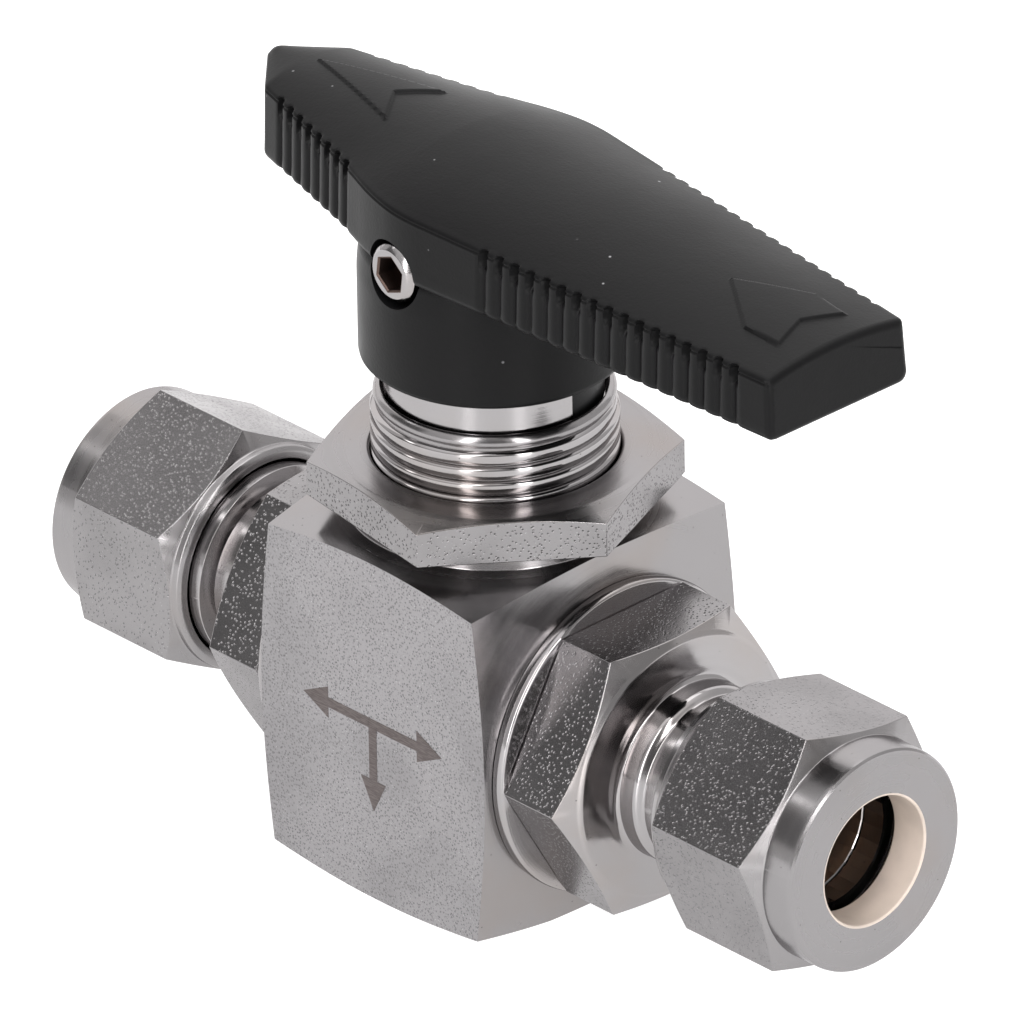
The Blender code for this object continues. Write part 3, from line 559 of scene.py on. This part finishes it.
def carve(target, tools):
    """Apply (tool, operation) steps to a piece for good, then drop the tools."""
    for tool, operation in tools:
        step = target.modifiers.new(operation.lower(), "BOOLEAN")
        step.operation, step.solver, step.object = operation, "EXACT", tool
        step.material_mode = "TRANSFER"
    bpy.context.view_layer.update()
    seen = target.evaluated_get(bpy.context.evaluated_depsgraph_get())
    result = bpy.data.meshes.new_from_object(seen)
    target.modifiers.clear()
    target.data = result
    for tool, _ in tools:
        bpy.data.objects.remove(tool, do_unlink=True)


def make_body(milled, turned_up, turned_across, bore):
    body = block("machined_body", (-14 * MM, -BODY_HALF_Y, -MM),
                 (14 * MM, BODY_HALF_Y, NECK_TOP + MM), milled)
    across = basis_for("X")
    tools = [(lathe("tool_end", port_turning(), [turned_across], basis=across, closed=False),
              "INTERSECT"),
             (lathe("tool_stem", stem_turning(), [turned_up], closed=False), "INTERSECT"),
             (lathe("tool_port", port_bore(), [bore], basis=across, closed=False), "DIFFERENCE"),
             (lathe("tool_bore", stem_bore(), [turned_up], closed=False), "DIFFERENCE"),
             (lathe("tool_base", base_port(), [bore], closed=False), "DIFFERENCE")]
    carve(body, tools)
    edges = body.modifiers.new("eased_edges", "BEVEL")
    edges.width, edges.segments, edges.limit_method = 0.09 * MM, 2, "ANGLE"
    edges.angle_limit = radians(34)
    shade(body, 34)
    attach(body, "valve")
    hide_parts("valve_body")


# ---- thread of the neck ------------------------------------------------------------------
PITCH = 1.27 * MM
THREAD_LOW, THREAD_HIGH = AXIS_Z + 16.9 * MM, AXIS_Z + 24.25 * MM
CREST_ANGLE, CREST_Z = radians(-43.4), AXIS_Z + 23.78 * MM


def make_thread(material):
    """A helical ridge that fades out at both ends of the thread."""
    start = CREST_ANGLE + (THREAD_LOW - CREST_Z) * 2 * pi / PITCH
    turns = (THREAD_HIGH - THREAD_LOW) / PITCH
    count = int(turns * 110)
    depth = THREAD_CREST - THREAD_ROOT
    section = [(-0.50, -0.25), (-0.45, 0.10), (-0.33, 0.90), (-0.27, 1.0), (0.27, 1.0),
               (0.33, 0.90), (0.45, 0.10), (0.50, -0.25)]
    built = bmesh.new()
    rings = []
    for i in range(count + 1):
        angle = start + 2 * pi * turns * i / count
        fade = min(1.0, i / 30, (count - i) / 30)
        z = THREAD_LOW + (THREAD_HIGH - THREAD_LOW) * i / count
        ring = []
        for along, height in section:
            r = THREAD_ROOT + depth * (height * fade if height > 0 else height)
            ring.append(built.verts.new((r * cos(angle), r * sin(angle), z + along * PITCH)))
        rings.append(ring)
    for one, two in zip(rings, rings[1:]):
        for k in range(len(section)):
            n = (k + 1) % len(section)
            built.faces.new((one[k], one[n], two[n], two[k]))
    built.faces.new(rings[0])
    built.faces.new(rings[-1])
    bmesh.ops.recalc_face_normals(built, faces=built.faces)
    thread = object_from("neck_thread", built, [material])
    shade(thread, 40, weighted=False)
    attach(thread, "valve")


# ---- flow mark ---------------------------------------------------------------------------
def arrow(built, tail, tip, width, y):
    """A flat arrow from tail to tip, drawn as a thin plate lying against the front face."""
    tail, tip = Vector(tail), Vector(tip)
    along = (tip - tail).normalized()
    across = Vector((-along.y, along.x))
    neck = tip - along * width * 3.2
    outline = [tail - across * width / 2, neck - across * width / 2, neck - across * width * 1.6,
               tip, neck + across * width * 1.6, neck + across * width / 2,
               tail + across * width / 2]
    near = [built.verts.new((p.x, y - 0.02 * MM, p.y)) for p in outline]
    far = [built.verts.new((p.x, y + 0.05 * MM, p.y)) for p in outline]
    built.faces.new(near)
    built.faces.new(list(reversed(far)))
    for k in range(len(outline)):
        n = (k + 1) % len(outline)
        built.faces.new((near[k], far[k], far[n], near[n]))


def make_flow_mark(material):
    """A generic three way flow symbol on the plain front face."""
    built = bmesh.new()
    middle, reach, width = AXIS_Z + 1.0 * MM, 7.6 * MM, 0.85 * MM
    arrow(built, (0.45 * MM, middle), (reach, middle), width, -BODY_HALF_Y)
    arrow(built, (-0.45 * MM, middle), (-reach, middle), width, -BODY_HALF_Y)
    arrow(built, (0.0, middle + width / 2), (0.0, middle - reach), width, -BODY_HALF_Y)
    bmesh.ops.recalc_face_normals(built, faces=built.faces)
    pit_shade = object_from("flow_mark", built, [material])
    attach(pit_shade, "valve")


# ---- stop collar -------------------------------------------------------------------------
COLLAR_ARC, LUG_ARC = (-132.0, 0.0), (1.2, 46.8)   # degrees round the stem that each fills


def bent_bar(name, inner, outer, z0, z1, arc, fillet, material, count=120):
    """A bar of rectangular section with eased edges, bent round the stem."""
    section = [(inner, z1, fillet, 0), (outer, z1, fillet, 0), (outer, z0, fillet, 0),
               (inner, z0, fillet, 0)]
    points, _ = soften(section, True)
    whole = abs(arc[1] - arc[0]) > 359.9
    built = bmesh.new()
    rings = []
    for i in range(count if whole else count + 1):
        a = radians(arc[0] + (arc[1] - arc[0]) * i / count)
        rings.append([built.verts.new((r * cos(a), r * sin(a), z)) for r, z in points])
    pairs = list(zip(rings, rings[1:])) + ([(rings[-1], rings[0])] if whole else [])
    for one, two in pairs:
        for k in range(len(points)):
            n = (k + 1) % len(points)
            built.faces.new((one[k], one[n], two[n], two[k]))
    if not whole:
        built.faces.new(rings[0])
        built.faces.new(rings[-1])
    bmesh.ops.recalc_face_normals(built, faces=built.faces)
    return shade(object_from(name, built, [material]))


def join(items):
    """Merge pieces into the first one, keeping its name."""
    built = bmesh.new()
    for item in items:
        built.from_mesh(item.data)
    built.to_mesh(items[0].data)
    built.free()
    for item in items[1:]:
        bpy.data.objects.remove(item, do_unlink=True)
    return items[0]


def make_stop_collar(material):
    low = bent_bar("machined_stop_collar", 6.5 * MM, 8.49 * MM, AXIS_Z + 22.95 * MM,
                   AXIS_Z + 24.3 * MM, (0, 360), 0.12 * MM, material)
    tall = bent_bar("tall_arc", 6.52 * MM, 8.5 * MM, AXIS_Z + 23.4 * MM, AXIS_Z + 28.1 * MM,
                    COLLAR_ARC, 0.15 * MM, material)
    collar = join([low, tall])
    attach(collar, "valve")
    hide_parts("stop_collar")


# ==== lever handle ========================================================================
NOSE_X, NOSE_BASE_X, HIP_X, WIDE_X, TAIL_X = (v * MM for v in (-24.95, -20.4, -7.0, 0.8, 37.75))
NOSE_HALF, HIP_HALF, WIDE_HALF, TAIL_HALF = (v * MM for v in (4.5, 8.1, 10.25, 7.0))
NOSE_TIP_R, NOSE_ROUND = 1.0 * MM, 0.9 * MM
EDGE_NOSE, EDGE_TAIL = AXIS_Z + 45.0 * MM, AXIS_Z + 42.7 * MM
RIDGE_X, RIDGE_TOP = -3.0 * MM, AXIS_Z + 46.2 * MM
RIDGE_NOSE, RIDGE_TAIL = AXIS_Z + 45.1 * MM, AXIS_Z + 43.3 * MM
FLOOR_NOSE, FLOOR_TAIL = AXIS_Z + 38.6 * MM, AXIS_Z + 37.55 * MM
HUB_SHOULDER, HUB_FOOT = AXIS_Z + 37.2 * MM, AXIS_Z + 28.5 * MM
HUB_R, HUB_BORE_R = 10.3 * MM, 3.3 * MM
FLANK_DRAFT = 0.03                       # outward lean of the flanks towards the underside
TAIL_LEAN, TAIL_LEAN_START = 0.07, 32 * MM
HANDLE_TURN = radians(1.0)               # the lever sits slightly askew on its stem
BEND = 1.8 * MM                          # how softly the outline bends at hip and middle
TOP_ROUND, BOTTOM_ROUND, END_ROUND = 0.36 * MM, 0.75 * MM, 0.55 * MM
RIB_DEPTH, POCKET_DEPTH = 0.50 * MM, 0.50 * MM
PARTING = 0.13 * MM                      # depth of the line between the lever's two halves
RIBS = ((8.5 * MM, 1.56 * MM, 17), (-18.7 * MM, 1.48 * MM, 8))
# Rows of the section: mm below the shoulder, shares of pocket and of parting line there.
LEDGE_ROWS = ((1.35, 0, 0), (1.05, 0.6, 0), (0.7, 1, 0), (0.22, 1, 0), (0.10, 1, 1))
# Rows over the rounded top edge: degrees, then the same two shares.
ROUND_ROWS = ((3, 1, 1), (14, 1, 0), (28, 0.95, 0), (42, 0.75, 0), (56, 0.5, 0), (70, 0.2, 0))
ARROW_HEIGHT = 0.22 * MM
SHORT_ARROW = [(-19.3, 0.0), (-8.3, 3.1), (-10.7, 0.1), (-8.3, -3.1)]
LONG_ARROW = [(26.3, 0.0), (31.7, 3.7), (35.15, 3.45), (33.9, 0.0), (35.15, -3.45),
              (31.7, -3.7)]


def plain_width(x):
    """Half width with sharp bends: nose, short arm, hip and long arm."""
    t_hip = np.clip((x - HIP_X) / (WIDE_X - HIP_X), 0, 1)
    hip = HIP_HALF + (WIDE_HALF - HIP_HALF) * (1.65 * t_hip - 0.65 * t_hip ** 2)
    nose = NOSE_HALF * (x - NOSE_X) / (NOSE_BASE_X - NOSE_X)
    short = NOSE_HALF + (HIP_HALF - NOSE_HALF) * (x - NOSE_BASE_X) / (HIP_X - NOSE_BASE_X)
    long = WIDE_HALF + (TAIL_HALF - WIDE_HALF) * (x - WIDE_X) / (TAIL_X - WIDE_X)
    return np.select([x < NOSE_BASE_X, x < HIP_X, x < WIDE_X], [nose, short, hip], long)


def half_width(x):
    """Half width of the lever along its top edge, with soft bends and a round nose."""
    reach = BEND * np.clip((x - NOSE_BASE_X) / (4 * MM), 0.12, 1)
    soft = sum(plain_width(x + reach * share) for share in np.linspace(-1, 1, 9)) / 9
    centre = NOSE_X + NOSE_TIP_R * sqrt(2)
    tip = np.sqrt(np.clip(NOSE_TIP_R ** 2 - (x - centre) ** 2, 0, None))
    return np.where(x < centre - NOSE_TIP_R / sqrt(2), tip, soft)


def edge_height(x):
    return EDGE_NOSE + (EDGE_TAIL - EDGE_NOSE) * (x - NOSE_X) / (TAIL_X - NOSE_X)


def floor_height(x):
    return FLOOR_NOSE + (FLOOR_TAIL - FLOOR_NOSE) * (x - NOSE_X) / (TAIL_X - NOSE_X)


def ridge_height(x):
    nose = np.clip((x - RIDGE_X) / (NOSE_X - RIDGE_X), 0, 1) ** 2.5
    tail = np.clip((x - RIDGE_X) / (TAIL_X - RIDGE_X), 0, 1) ** 1.25
    return RIDGE_TOP + (RIDGE_NOSE - RIDGE_TOP) * nose + (RIDGE_TAIL - RIDGE_TOP) * tail


def rib_depths(x):
    """Depth of the finger grooves along the lever, and of the pocket at the top of each."""
    groove, pocket = np.zeros_like(x), np.zeros_like(x)
    for start, pitch, count in RIBS:
        phase = (x - start) / pitch
        inside = (phase > 0) & (phase < count)
        off = np.abs(phase - np.floor(phase) - 0.5)
        valley = 1 - np.sqrt(np.clip(1 - (1.9 * (0.5 - off)) ** 2, 0, None))
        groove += np.where(inside, RIB_DEPTH * valley, 0)
        pocket += np.where(inside, POCKET_DEPTH * np.sqrt(np.clip(1 - (off / 0.27) ** 2, 0, 1)), 0)
    return groove, pocket


def stations():
    """Places along the lever where its section is computed."""
    centre = NOSE_X + NOSE_TIP_R * sqrt(2)
    tip = centre - NOSE_TIP_R * np.cos(np.radians(np.linspace(0.5, 45, 10)))
    middle = np.arange(centre - NOSE_TIP_R / sqrt(2) + 0.08 * MM, TAIL_X - END_ROUND, 0.085 * MM)
    end = TAIL_X - END_ROUND + END_ROUND * np.sin(np.radians(np.linspace(0, 90, 7)))
    return np.concatenate([tip, middle, end])


def polygon_distance(x, y, corners):
    """Signed distance from points to a polygon, negative inside."""
    inside = np.zeros(x.shape, bool)
    best = np.full(x.shape, 1.0)
    for (ax, ay), (bx, by) in zip(corners, corners[1:] + corners[:1]):
        ax, ay, bx, by = ax * MM, ay * MM, bx * MM, by * MM
        ex, ey = bx - ax, by - ay
        t = np.clip(((x - ax) * ex + (y - ay) * ey) / (ex * ex + ey * ey), 0, 1)
        best = np.minimum(best, np.hypot(x - ax - t * ex, y - ay - t * ey))
        crosses = (ay > y) != (by > y)
        safe = np.where(crosses, by - ay, 1.0)
        inside ^= crosses & (x < (y - ay) / safe * ex + ax)
    return np.where(inside, -best, best)


def smooth_step(value, low, high):
    t = np.clip((value - low) / (high - low), 0, 1)
    return t * t * (3 - 2 * t)


def arrow_rise(x, y):
    """Height of the two moulded arrows above the top, and of the small gate mark below it."""
    rise = np.zeros_like(x)
    for corners in (SHORT_ARROW, LONG_ARROW):
        rise += ARROW_HEIGHT * (1 - smooth_step(polygon_distance(x, y, corners),
                                               -0.10 * MM, 0.10 * MM))
    gate = np.hypot((x + 4.2 * MM) / 1.3, y - 0.3 * MM)
    return rise - 0.18 * MM * (1 - smooth_step(gate, 0.10 * MM, 0.32 * MM))


def end_rounding(x):
    """How far the section shrinks towards the tail's end and towards the nose."""
    past_tail = np.clip(x - (TAIL_X - END_ROUND), 0, END_ROUND)
    tail = END_ROUND - np.sqrt(np.clip(END_ROUND ** 2 - past_tail ** 2, 0, None))
    tip = NOSE_X + NOSE_TIP_R * (sqrt(2) - 1)
    past_nose = np.clip(tip + NOSE_ROUND - x, 0, NOSE_ROUND)
    nose = NOSE_ROUND - np.sqrt(np.clip(NOSE_ROUND ** 2 - past_nose ** 2, 0, None))
    return tail, nose


def half_section(x):
    """Points (y, z) of one half of every section, from the underside's middle to the ridge."""
    half, edge, ridge = half_width(x), edge_height(x), ridge_height(x)
    inset, nose = end_rounding(x)
    half, edge, ridge = half - inset, edge - inset - nose, ridge - inset - nose
    low = floor_height(x) + inset + nose
    small = np.minimum(1.0, half / (1.2 * MM))
    top_round, low_round = TOP_ROUND * small, BOTTOM_ROUND * small
    foot = half + FLANK_DRAFT * (edge - low) * small
    groove, pocket = rib_depths(x)
    rows = [(foot * 0.0, low), (foot * 0.5, low), (foot - low_round - groove * 0.6, low)]
    for a in np.radians((25, 50, 75, 90)):
        rows.append((foot - low_round * (1 - np.sin(a)) - groove, low + low_round * (1 - np.cos(a))))
    shoulder, inner = edge - top_round, half - top_round
    rim = foot - FLANK_DRAFT * (shoulder - low) * small
    for t in (0.15, 0.3, 0.45, 0.6):
        z = low + low_round + (shoulder - low - low_round) * t
        rows.append((foot - FLANK_DRAFT * (z - low) * small - groove, z))
    for drop, share, line in LEDGE_ROWS:
        z = shoulder - drop * MM * small
        rows.append((foot - FLANK_DRAFT * (z - low) * small - groove - pocket * share
                     - line * PARTING * small, z))
    for a, share, line in ROUND_ROWS:
        a = radians(a)
        rows.append((rim - (rim - inner) * (1 - cos(a)) - (groove + pocket) * share
                     - line * PARTING * small, shoulder + top_round * sin(a) * 0.97))
    for t in np.linspace(0.985, 0.0, 44):
        y = inner * t
        rows.append((y, edge + (ridge - edge) * (1 - t ** 2) + arrow_rise(x, -y)))
    return rows


def lever_shape():
    """All points of the lever as an array (station, point, xyz)."""
    x = stations()
    half = half_section(x)
    mirrored = [(-y, z) for y, z in half[1:-1]]
    loop = [(-y, z) for y, z in half] + [(-y, z) for y, z in reversed(mirrored)]
    grid = np.zeros((len(x), len(loop), 3))
    for k, (y, z) in enumerate(loop):
        grid[:, k, 0], grid[:, k, 1], grid[:, k, 2] = x, y, z
    lean = smooth_step(grid[..., 0], TAIL_LEAN_START, TAIL_X) * TAIL_LEAN
    grid[..., 0] += lean * (EDGE_TAIL - grid[..., 2])
    along, aside = grid[..., 0].copy(), grid[..., 1].copy()
    grid[..., 0] = along * cos(HANDLE_TURN) + aside * sin(HANDLE_TURN)
    grid[..., 1] = aside * cos(HANDLE_TURN) - along * sin(HANDLE_TURN)
    return grid


def mesh_of_grid(name, grid, material):
    rows, count = grid.shape[:2]
    index = np.arange(rows * count).reshape(rows, count)
    after = np.roll(index, -1, axis=1)
    quads = np.stack([index[:-1], after[:-1], after[1:], index[1:]], -1).reshape(-1, 4)
    faces = quads.tolist() + [index[0].tolist()[::-1], index[-1].tolist()]
    mesh = bpy.data.meshes.new(name)
    mesh.from_pydata(grid.reshape(-1, 3).tolist(), [], faces)
    built = bmesh.new()
    built.from_mesh(mesh)
    bmesh.ops.recalc_face_normals(built, faces=built.faces)
    return object_from(name, built, [material])


def hub_outline():
    """The round hub under the arm, with a shallow recess in its foot."""
    top, recess = HUB_SHOULDER + 1.6 * MM, HUB_FOOT + 0.3 * MM
    rows = [(HUB_BORE_R, top, 0.0, 0), (9.5 * MM, top, 0.0, 0),
            (10.12 * MM, HUB_SHOULDER + 0.7 * MM, 0.3 * MM, 0),
            (HUB_R, HUB_SHOULDER - 1.2 * MM, 0.5 * MM, 0), (HUB_R, HUB_FOOT, 0.75 * MM, 0),
            (9.2 * MM, HUB_FOOT, 0.3 * MM, 0), (9.0 * MM, recess, 0.1 * MM, 0),
            (HUB_BORE_R, recess, 0.0, 0)]
    return lambda angle: rows


def screw_hole(material):
    radius, mouth, floor = 2.78 * MM, 15 * MM, 3.2 * MM
    outline = round_profile((0.0, mouth), (radius, mouth), (radius, floor), (0.0, floor))
    return lathe("tool_hole", outline, [material], [2 * pi * k / 72 for k in range(72)],
                 basis_for("Y"), closed=False)


def make_lever(material):
    arm = mesh_of_grid("moulded_lever", lever_shape(), material)
    hub = lathe("moulded_hub", hub_outline(), [material])
    for piece in (arm, hub):
        carve(piece, [(screw_hole(material), "DIFFERENCE")])
    lug = bent_bar("stop_lug", 6.75 * MM, 8.35 * MM, AXIS_Z + 24.6 * MM, AXIS_Z + 30 * MM,
                   LUG_ARC, 0.2 * MM, material, 40)
    lever = join([arm, hub, lug])
    shade(lever, 38)
    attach(lever, "rotor")
    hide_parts("handle")


SOCKET_APOTHEM, SOCKET_CORNER = 1.27 * MM, 0.03 * MM
SET_SCREW_R = 2.38 * MM


def set_screw_outline(angle):
    """Radius and distance from the stem: slot 0 the turned screw, 1 its socket, darkened with
    painted shade.
    """
    face, floor = 10.22 * MM, 7.6 * MM
    socket = hex_reach(SOCKET_APOTHEM, SOCKET_CORNER, angle)
    return [(0.0, floor - 0.5 * MM, 0.0, 1), (socket * 0.96, floor, 0.0, 1),
            (socket, face - 0.12 * MM, 0.0, 1), (socket * 1.09, face, 0.05 * MM, 0),
            (1.95 * MM, face, 0.12 * MM, 0), (SET_SCREW_R, face - 0.42 * MM, 0.1 * MM, 0),
            (SET_SCREW_R, 4.0 * MM, 0.0, 0), (1.3 * MM, 3.0 * MM, 0.0, 0),
            (0.0, 3.0 * MM, 0.0, 0)]


def make_set_screw(materials):
    screw = lathe("machined_set_screw", set_screw_outline, materials,
                  hex_angles(SOCKET_APOTHEM, SOCKET_CORNER, along=10, round_corner=2),
                  basis_for("Y", turn=radians(22)), closed=False)
    shade(screw)
    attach(screw, "rotor")
    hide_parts("handle_set_screw")


# ==== finishes of the kept nodes ==========================================================
def dress(node_names, material):
    for name in node_names:
        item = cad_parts[name]
        for place in item.material_slots:
            place.material = material


def dress_kept_nodes():
    both = ("left", "right")
    ring = turned_steel("ring_steel_finish", PORT_AXIS, BRIGHT_TINT, 0.22)
    gland = turned_steel("gland_steel_finish", STEM_AXIS, STEEL_TINT, 0.26)
    stem = turned_steel("stem_steel_finish", STEM_AXIS, BRIGHT_TINT, 0.16)
    spring = drawn_steel("spring_steel_finish", SPRING_TINT, 0.26)
    ptfe = soft_polymer("ptfe_finish", PTFE_TINT, 0.42, 0.4)
    rubber = soft_polymer("elastomer_finish", RUBBER_TINT, 0.55, 0.35)
    for stem_word in ("front_ferrule_", "back_ferrule_", "seat_support_"):
        dress([stem_word + word for word in both], ring)
    dress(["seat_" + word for word in both], ptfe)
    dress(["body_seal_" + word for word in both], rubber)
    dress(["ball", "stem"], stem)
    dress(["packing_gland", "packing_nut"], gland)
    dress(["disc_spring_lower", "disc_spring_upper"], spring)
    dress(["stem_thrust_washer", "stem_packing_lower", "stem_packing_upper"], ptfe)


# ==== studio ==============================================================================
CAMERA_AZIMUTH, CAMERA_ELEVATION, CAMERA_ROLL = 46.591, 28.757, -0.916
CAMERA_DISTANCE, CAMERA_LENS = 1648.2 * MM, 759.3
AIM_RIGHT, AIM_UP = 0.962 * MM, 12.419 * MM   # from the middle of the ball to the aim
# Softboxes and dark flags: azimuth from the camera, half width, low and high elevation,
# all in degrees, and the brightness added there.
CARDS = ((-27.0, 5.0, 2.0, 62.0, 9.0), (25.0, 5.5, 2.0, 62.0, 9.0), (0.0, 17.0, 6.0, 70.0, -0.62),
         (-92.0, 20.0, 11.0, 38.0, -0.62), (-103.0, 5.0, 40.0, 44.0, 3.4),
         (-130.0, 22.0, 45.0, 62.0, -0.70), (58.0, 22.0, 4.0, 50.0, -0.34),
         (180.0, 48.0, 4.0, 46.0, 0.78))
ROOM_LIGHT = 0.80
OVERHEAD_LIGHT = 0.9


def card_light(graph, azimuth, elevation, card):
    """Soft-edged patch of light or shade in the directions of one card."""
    middle, half, low, high, power = card
    away = graph.math("SUBTRACT", azimuth, middle)
    away = graph.node("Math", {0: away, 1: 180.0, 2: -180.0}, operation="WRAP").outputs[0]
    away = graph.math("ABSOLUTE", away)
    sideways = graph.ramp(away, half + 2.0, half - 2.0)
    upright = graph.math("MULTIPLY", graph.ramp(elevation, low - 2.0, low + 2.0),
                         graph.ramp(elevation, high + 4.0, high - 2.0))
    return graph.math("MULTIPLY", graph.math("MULTIPLY", sideways, upright), power)


def light_directions(graph):
    """Azimuth from the camera's side and elevation of each direction, in degrees."""
    x, y, z = graph.node("SeparateXYZ",
                         {0: graph.node("TexCoord").outputs["Generated"]}).outputs
    turn = graph.math("DEGREES", graph.math("ARCTAN2", y, x))
    azimuth = graph.math("SUBTRACT", turn, CAMERA_AZIMUTH - 90.0)
    return azimuth, graph.math("DEGREES", graph.math("ARCSINE", z))


def make_room():
    world = bpy.data.worlds.new("studio")
    world.use_nodes = True
    graph = Graph(world.node_tree)
    azimuth, elevation = light_directions(graph)
    total = graph.ramp(elevation, 30.0, 85.0, ROOM_LIGHT, ROOM_LIGHT + OVERHEAD_LIGHT)
    for card in CARDS:
        total = graph.math("ADD", total, card_light(graph, azimuth, elevation, card))
    total = graph.math("MAXIMUM", total, 0.06)
    background = graph.node("Background", {"Color": (1.0, 0.985, 0.985), "Strength": total})
    out = graph.node("OutputWorld")
    graph.tree.links.new(background.outputs[0], out.inputs["Surface"])
    bpy.context.scene.world = world


def make_floor():
    made, graph = new_material("pale_floor")
    mottle = graph.noise(graph.place(), 3.0, 2.0)
    shader = graph.node("BsdfPrincipled", {
        "Base Color": graph.mix(mottle, (0.30, 0.30, 0.30), (0.32, 0.32, 0.32)),
        "Emission Color": (1.0, 1.0, 1.0), "Emission Strength": 0.94,
        "Roughness": 0.3, "Specular IOR Level": 0.4})
    finish_material(graph, shader)
    floor = block("floor", (-10.0, -10.0, -0.02), (10.0, 10.0, 0.0), made)


def area_light(name, azimuth, elevation, distance, size, power):
    """A soft panel at an azimuth from the camera's side, aimed at the valve."""
    data = bpy.data.lights.new(name, "AREA")
    data.shape, data.size, data.size_y, data.energy = "RECTANGLE", size[0], size[1], power
    lamp = bpy.data.objects.new(name, data)
    bpy.context.scene.collection.objects.link(lamp)
    turn, lift = radians(azimuth + CAMERA_AZIMUTH - 90.0), radians(elevation)
    away = Vector((cos(turn) * cos(lift), sin(turn) * cos(lift), sin(lift)))
    lamp.location = away * distance + Vector((0, 0, 0.02))
    lamp.rotation_euler = away.to_track_quat("Z", "Y").to_euler()
    lamp.visible_camera = False


def make_lights():
    area_light("overhead_softbox", azimuth=150.0, elevation=72.0, distance=2.6,
               size=(1.6, 1.6), power=10.0)


def make_camera():
    data = bpy.data.cameras.new("camera")
    data.sensor_width, data.lens = 36.0, CAMERA_LENS
    data.clip_start, data.clip_end = 0.05, 100.0
    camera = bpy.data.objects.new("camera", data)
    bpy.context.scene.collection.objects.link(camera)
    turn, lift, roll = (radians(v) for v in (CAMERA_AZIMUTH, CAMERA_ELEVATION, CAMERA_ROLL))
    back = Vector((sin(turn) * cos(lift), -cos(turn) * cos(lift), sin(lift)))
    level = Vector((cos(turn), sin(turn), 0.0))
    rise = back.cross(level)
    right = level * cos(roll) + rise * sin(roll)
    up = rise * cos(roll) - level * sin(roll)
    aim = Vector((0, 0, AXIS_Z)) + right * AIM_RIGHT + up * AIM_UP
    axes = Matrix((right, up, back)).transposed().to_4x4()
    camera.matrix_world = Matrix.Translation(aim + back * CAMERA_DISTANCE) @ axes
    bpy.context.scene.camera = camera


# ==== assembly ============================================================================
def make_pieces():
    face_z = turned_steel("steel_turned_about_stem", STEM_AXIS, STEEL_TINT, 0.25)
    face_x = turned_steel("steel_turned_about_port", PORT_AXIS, STEEL_TINT, 0.25)
    mirror_z = turned_steel("bright_steel_about_stem", STEM_AXIS, BRIGHT_TINT, 0.13, 0.5)
    mirror_x = turned_steel("bright_steel_about_port", PORT_AXIS, BRIGHT_TINT, 0.14, 0.6)
    bore = turned_steel("bored_steel", PORT_AXIS, BORE_TINT, 0.42, 0.4)
    # painted reflection: the tube nuts' bore wall at the mouth is coloured cream for the light it
    # mirrors, not a polymer part
    mouth = soft_polymer("nut_mouth_painted_reflection", MOUTH_REFLECTION_TINT, 0.34, 0.5)
    # painted shade: the set screw's socket gets a dark steel for the shade inside it
    socket = turned_steel("socket_painted_shade_steel", SCREW_AXIS, SOCKET_SHADE_TINT, 0.4, 0.2)
    milled = drawn_steel("satin_milled_steel", MILLED_TINT, 0.34, 0.000024, 4300.0, 0.85, 0.55)
    drawn = drawn_steel("drawn_bar_steel", DRAWN_TINT, 0.22, 0.000045, 3400.0, 0.58)
    make_body(milled, face_z, face_x, bore)
    make_thread(mirror_z)
    make_flow_mark(dark_oxide("laser_oxide"))
    make_panel_nut([face_z, drawn])
    make_stop_collar(mirror_z)
    for word, side, turn in NUT_TURNS:
        make_connector(word, side, [mirror_x, drawn, mirror_x, bore])
        make_tube_nut(word, side, turn, [face_x, drawn, mouth])
    make_lever(moulded_nylon("moulded_nylon"))
    make_set_screw([turned_steel("bright_screw_steel", SCREW_AXIS, BRIGHT_TINT, 0.16), socket])
    dress_kept_nodes()


def main():
    make_pieces()
    make_room()
    make_floor()
    make_lights()
    make_camera()
    bpy.context.scene.view_settings.view_transform = "Standard"


main()
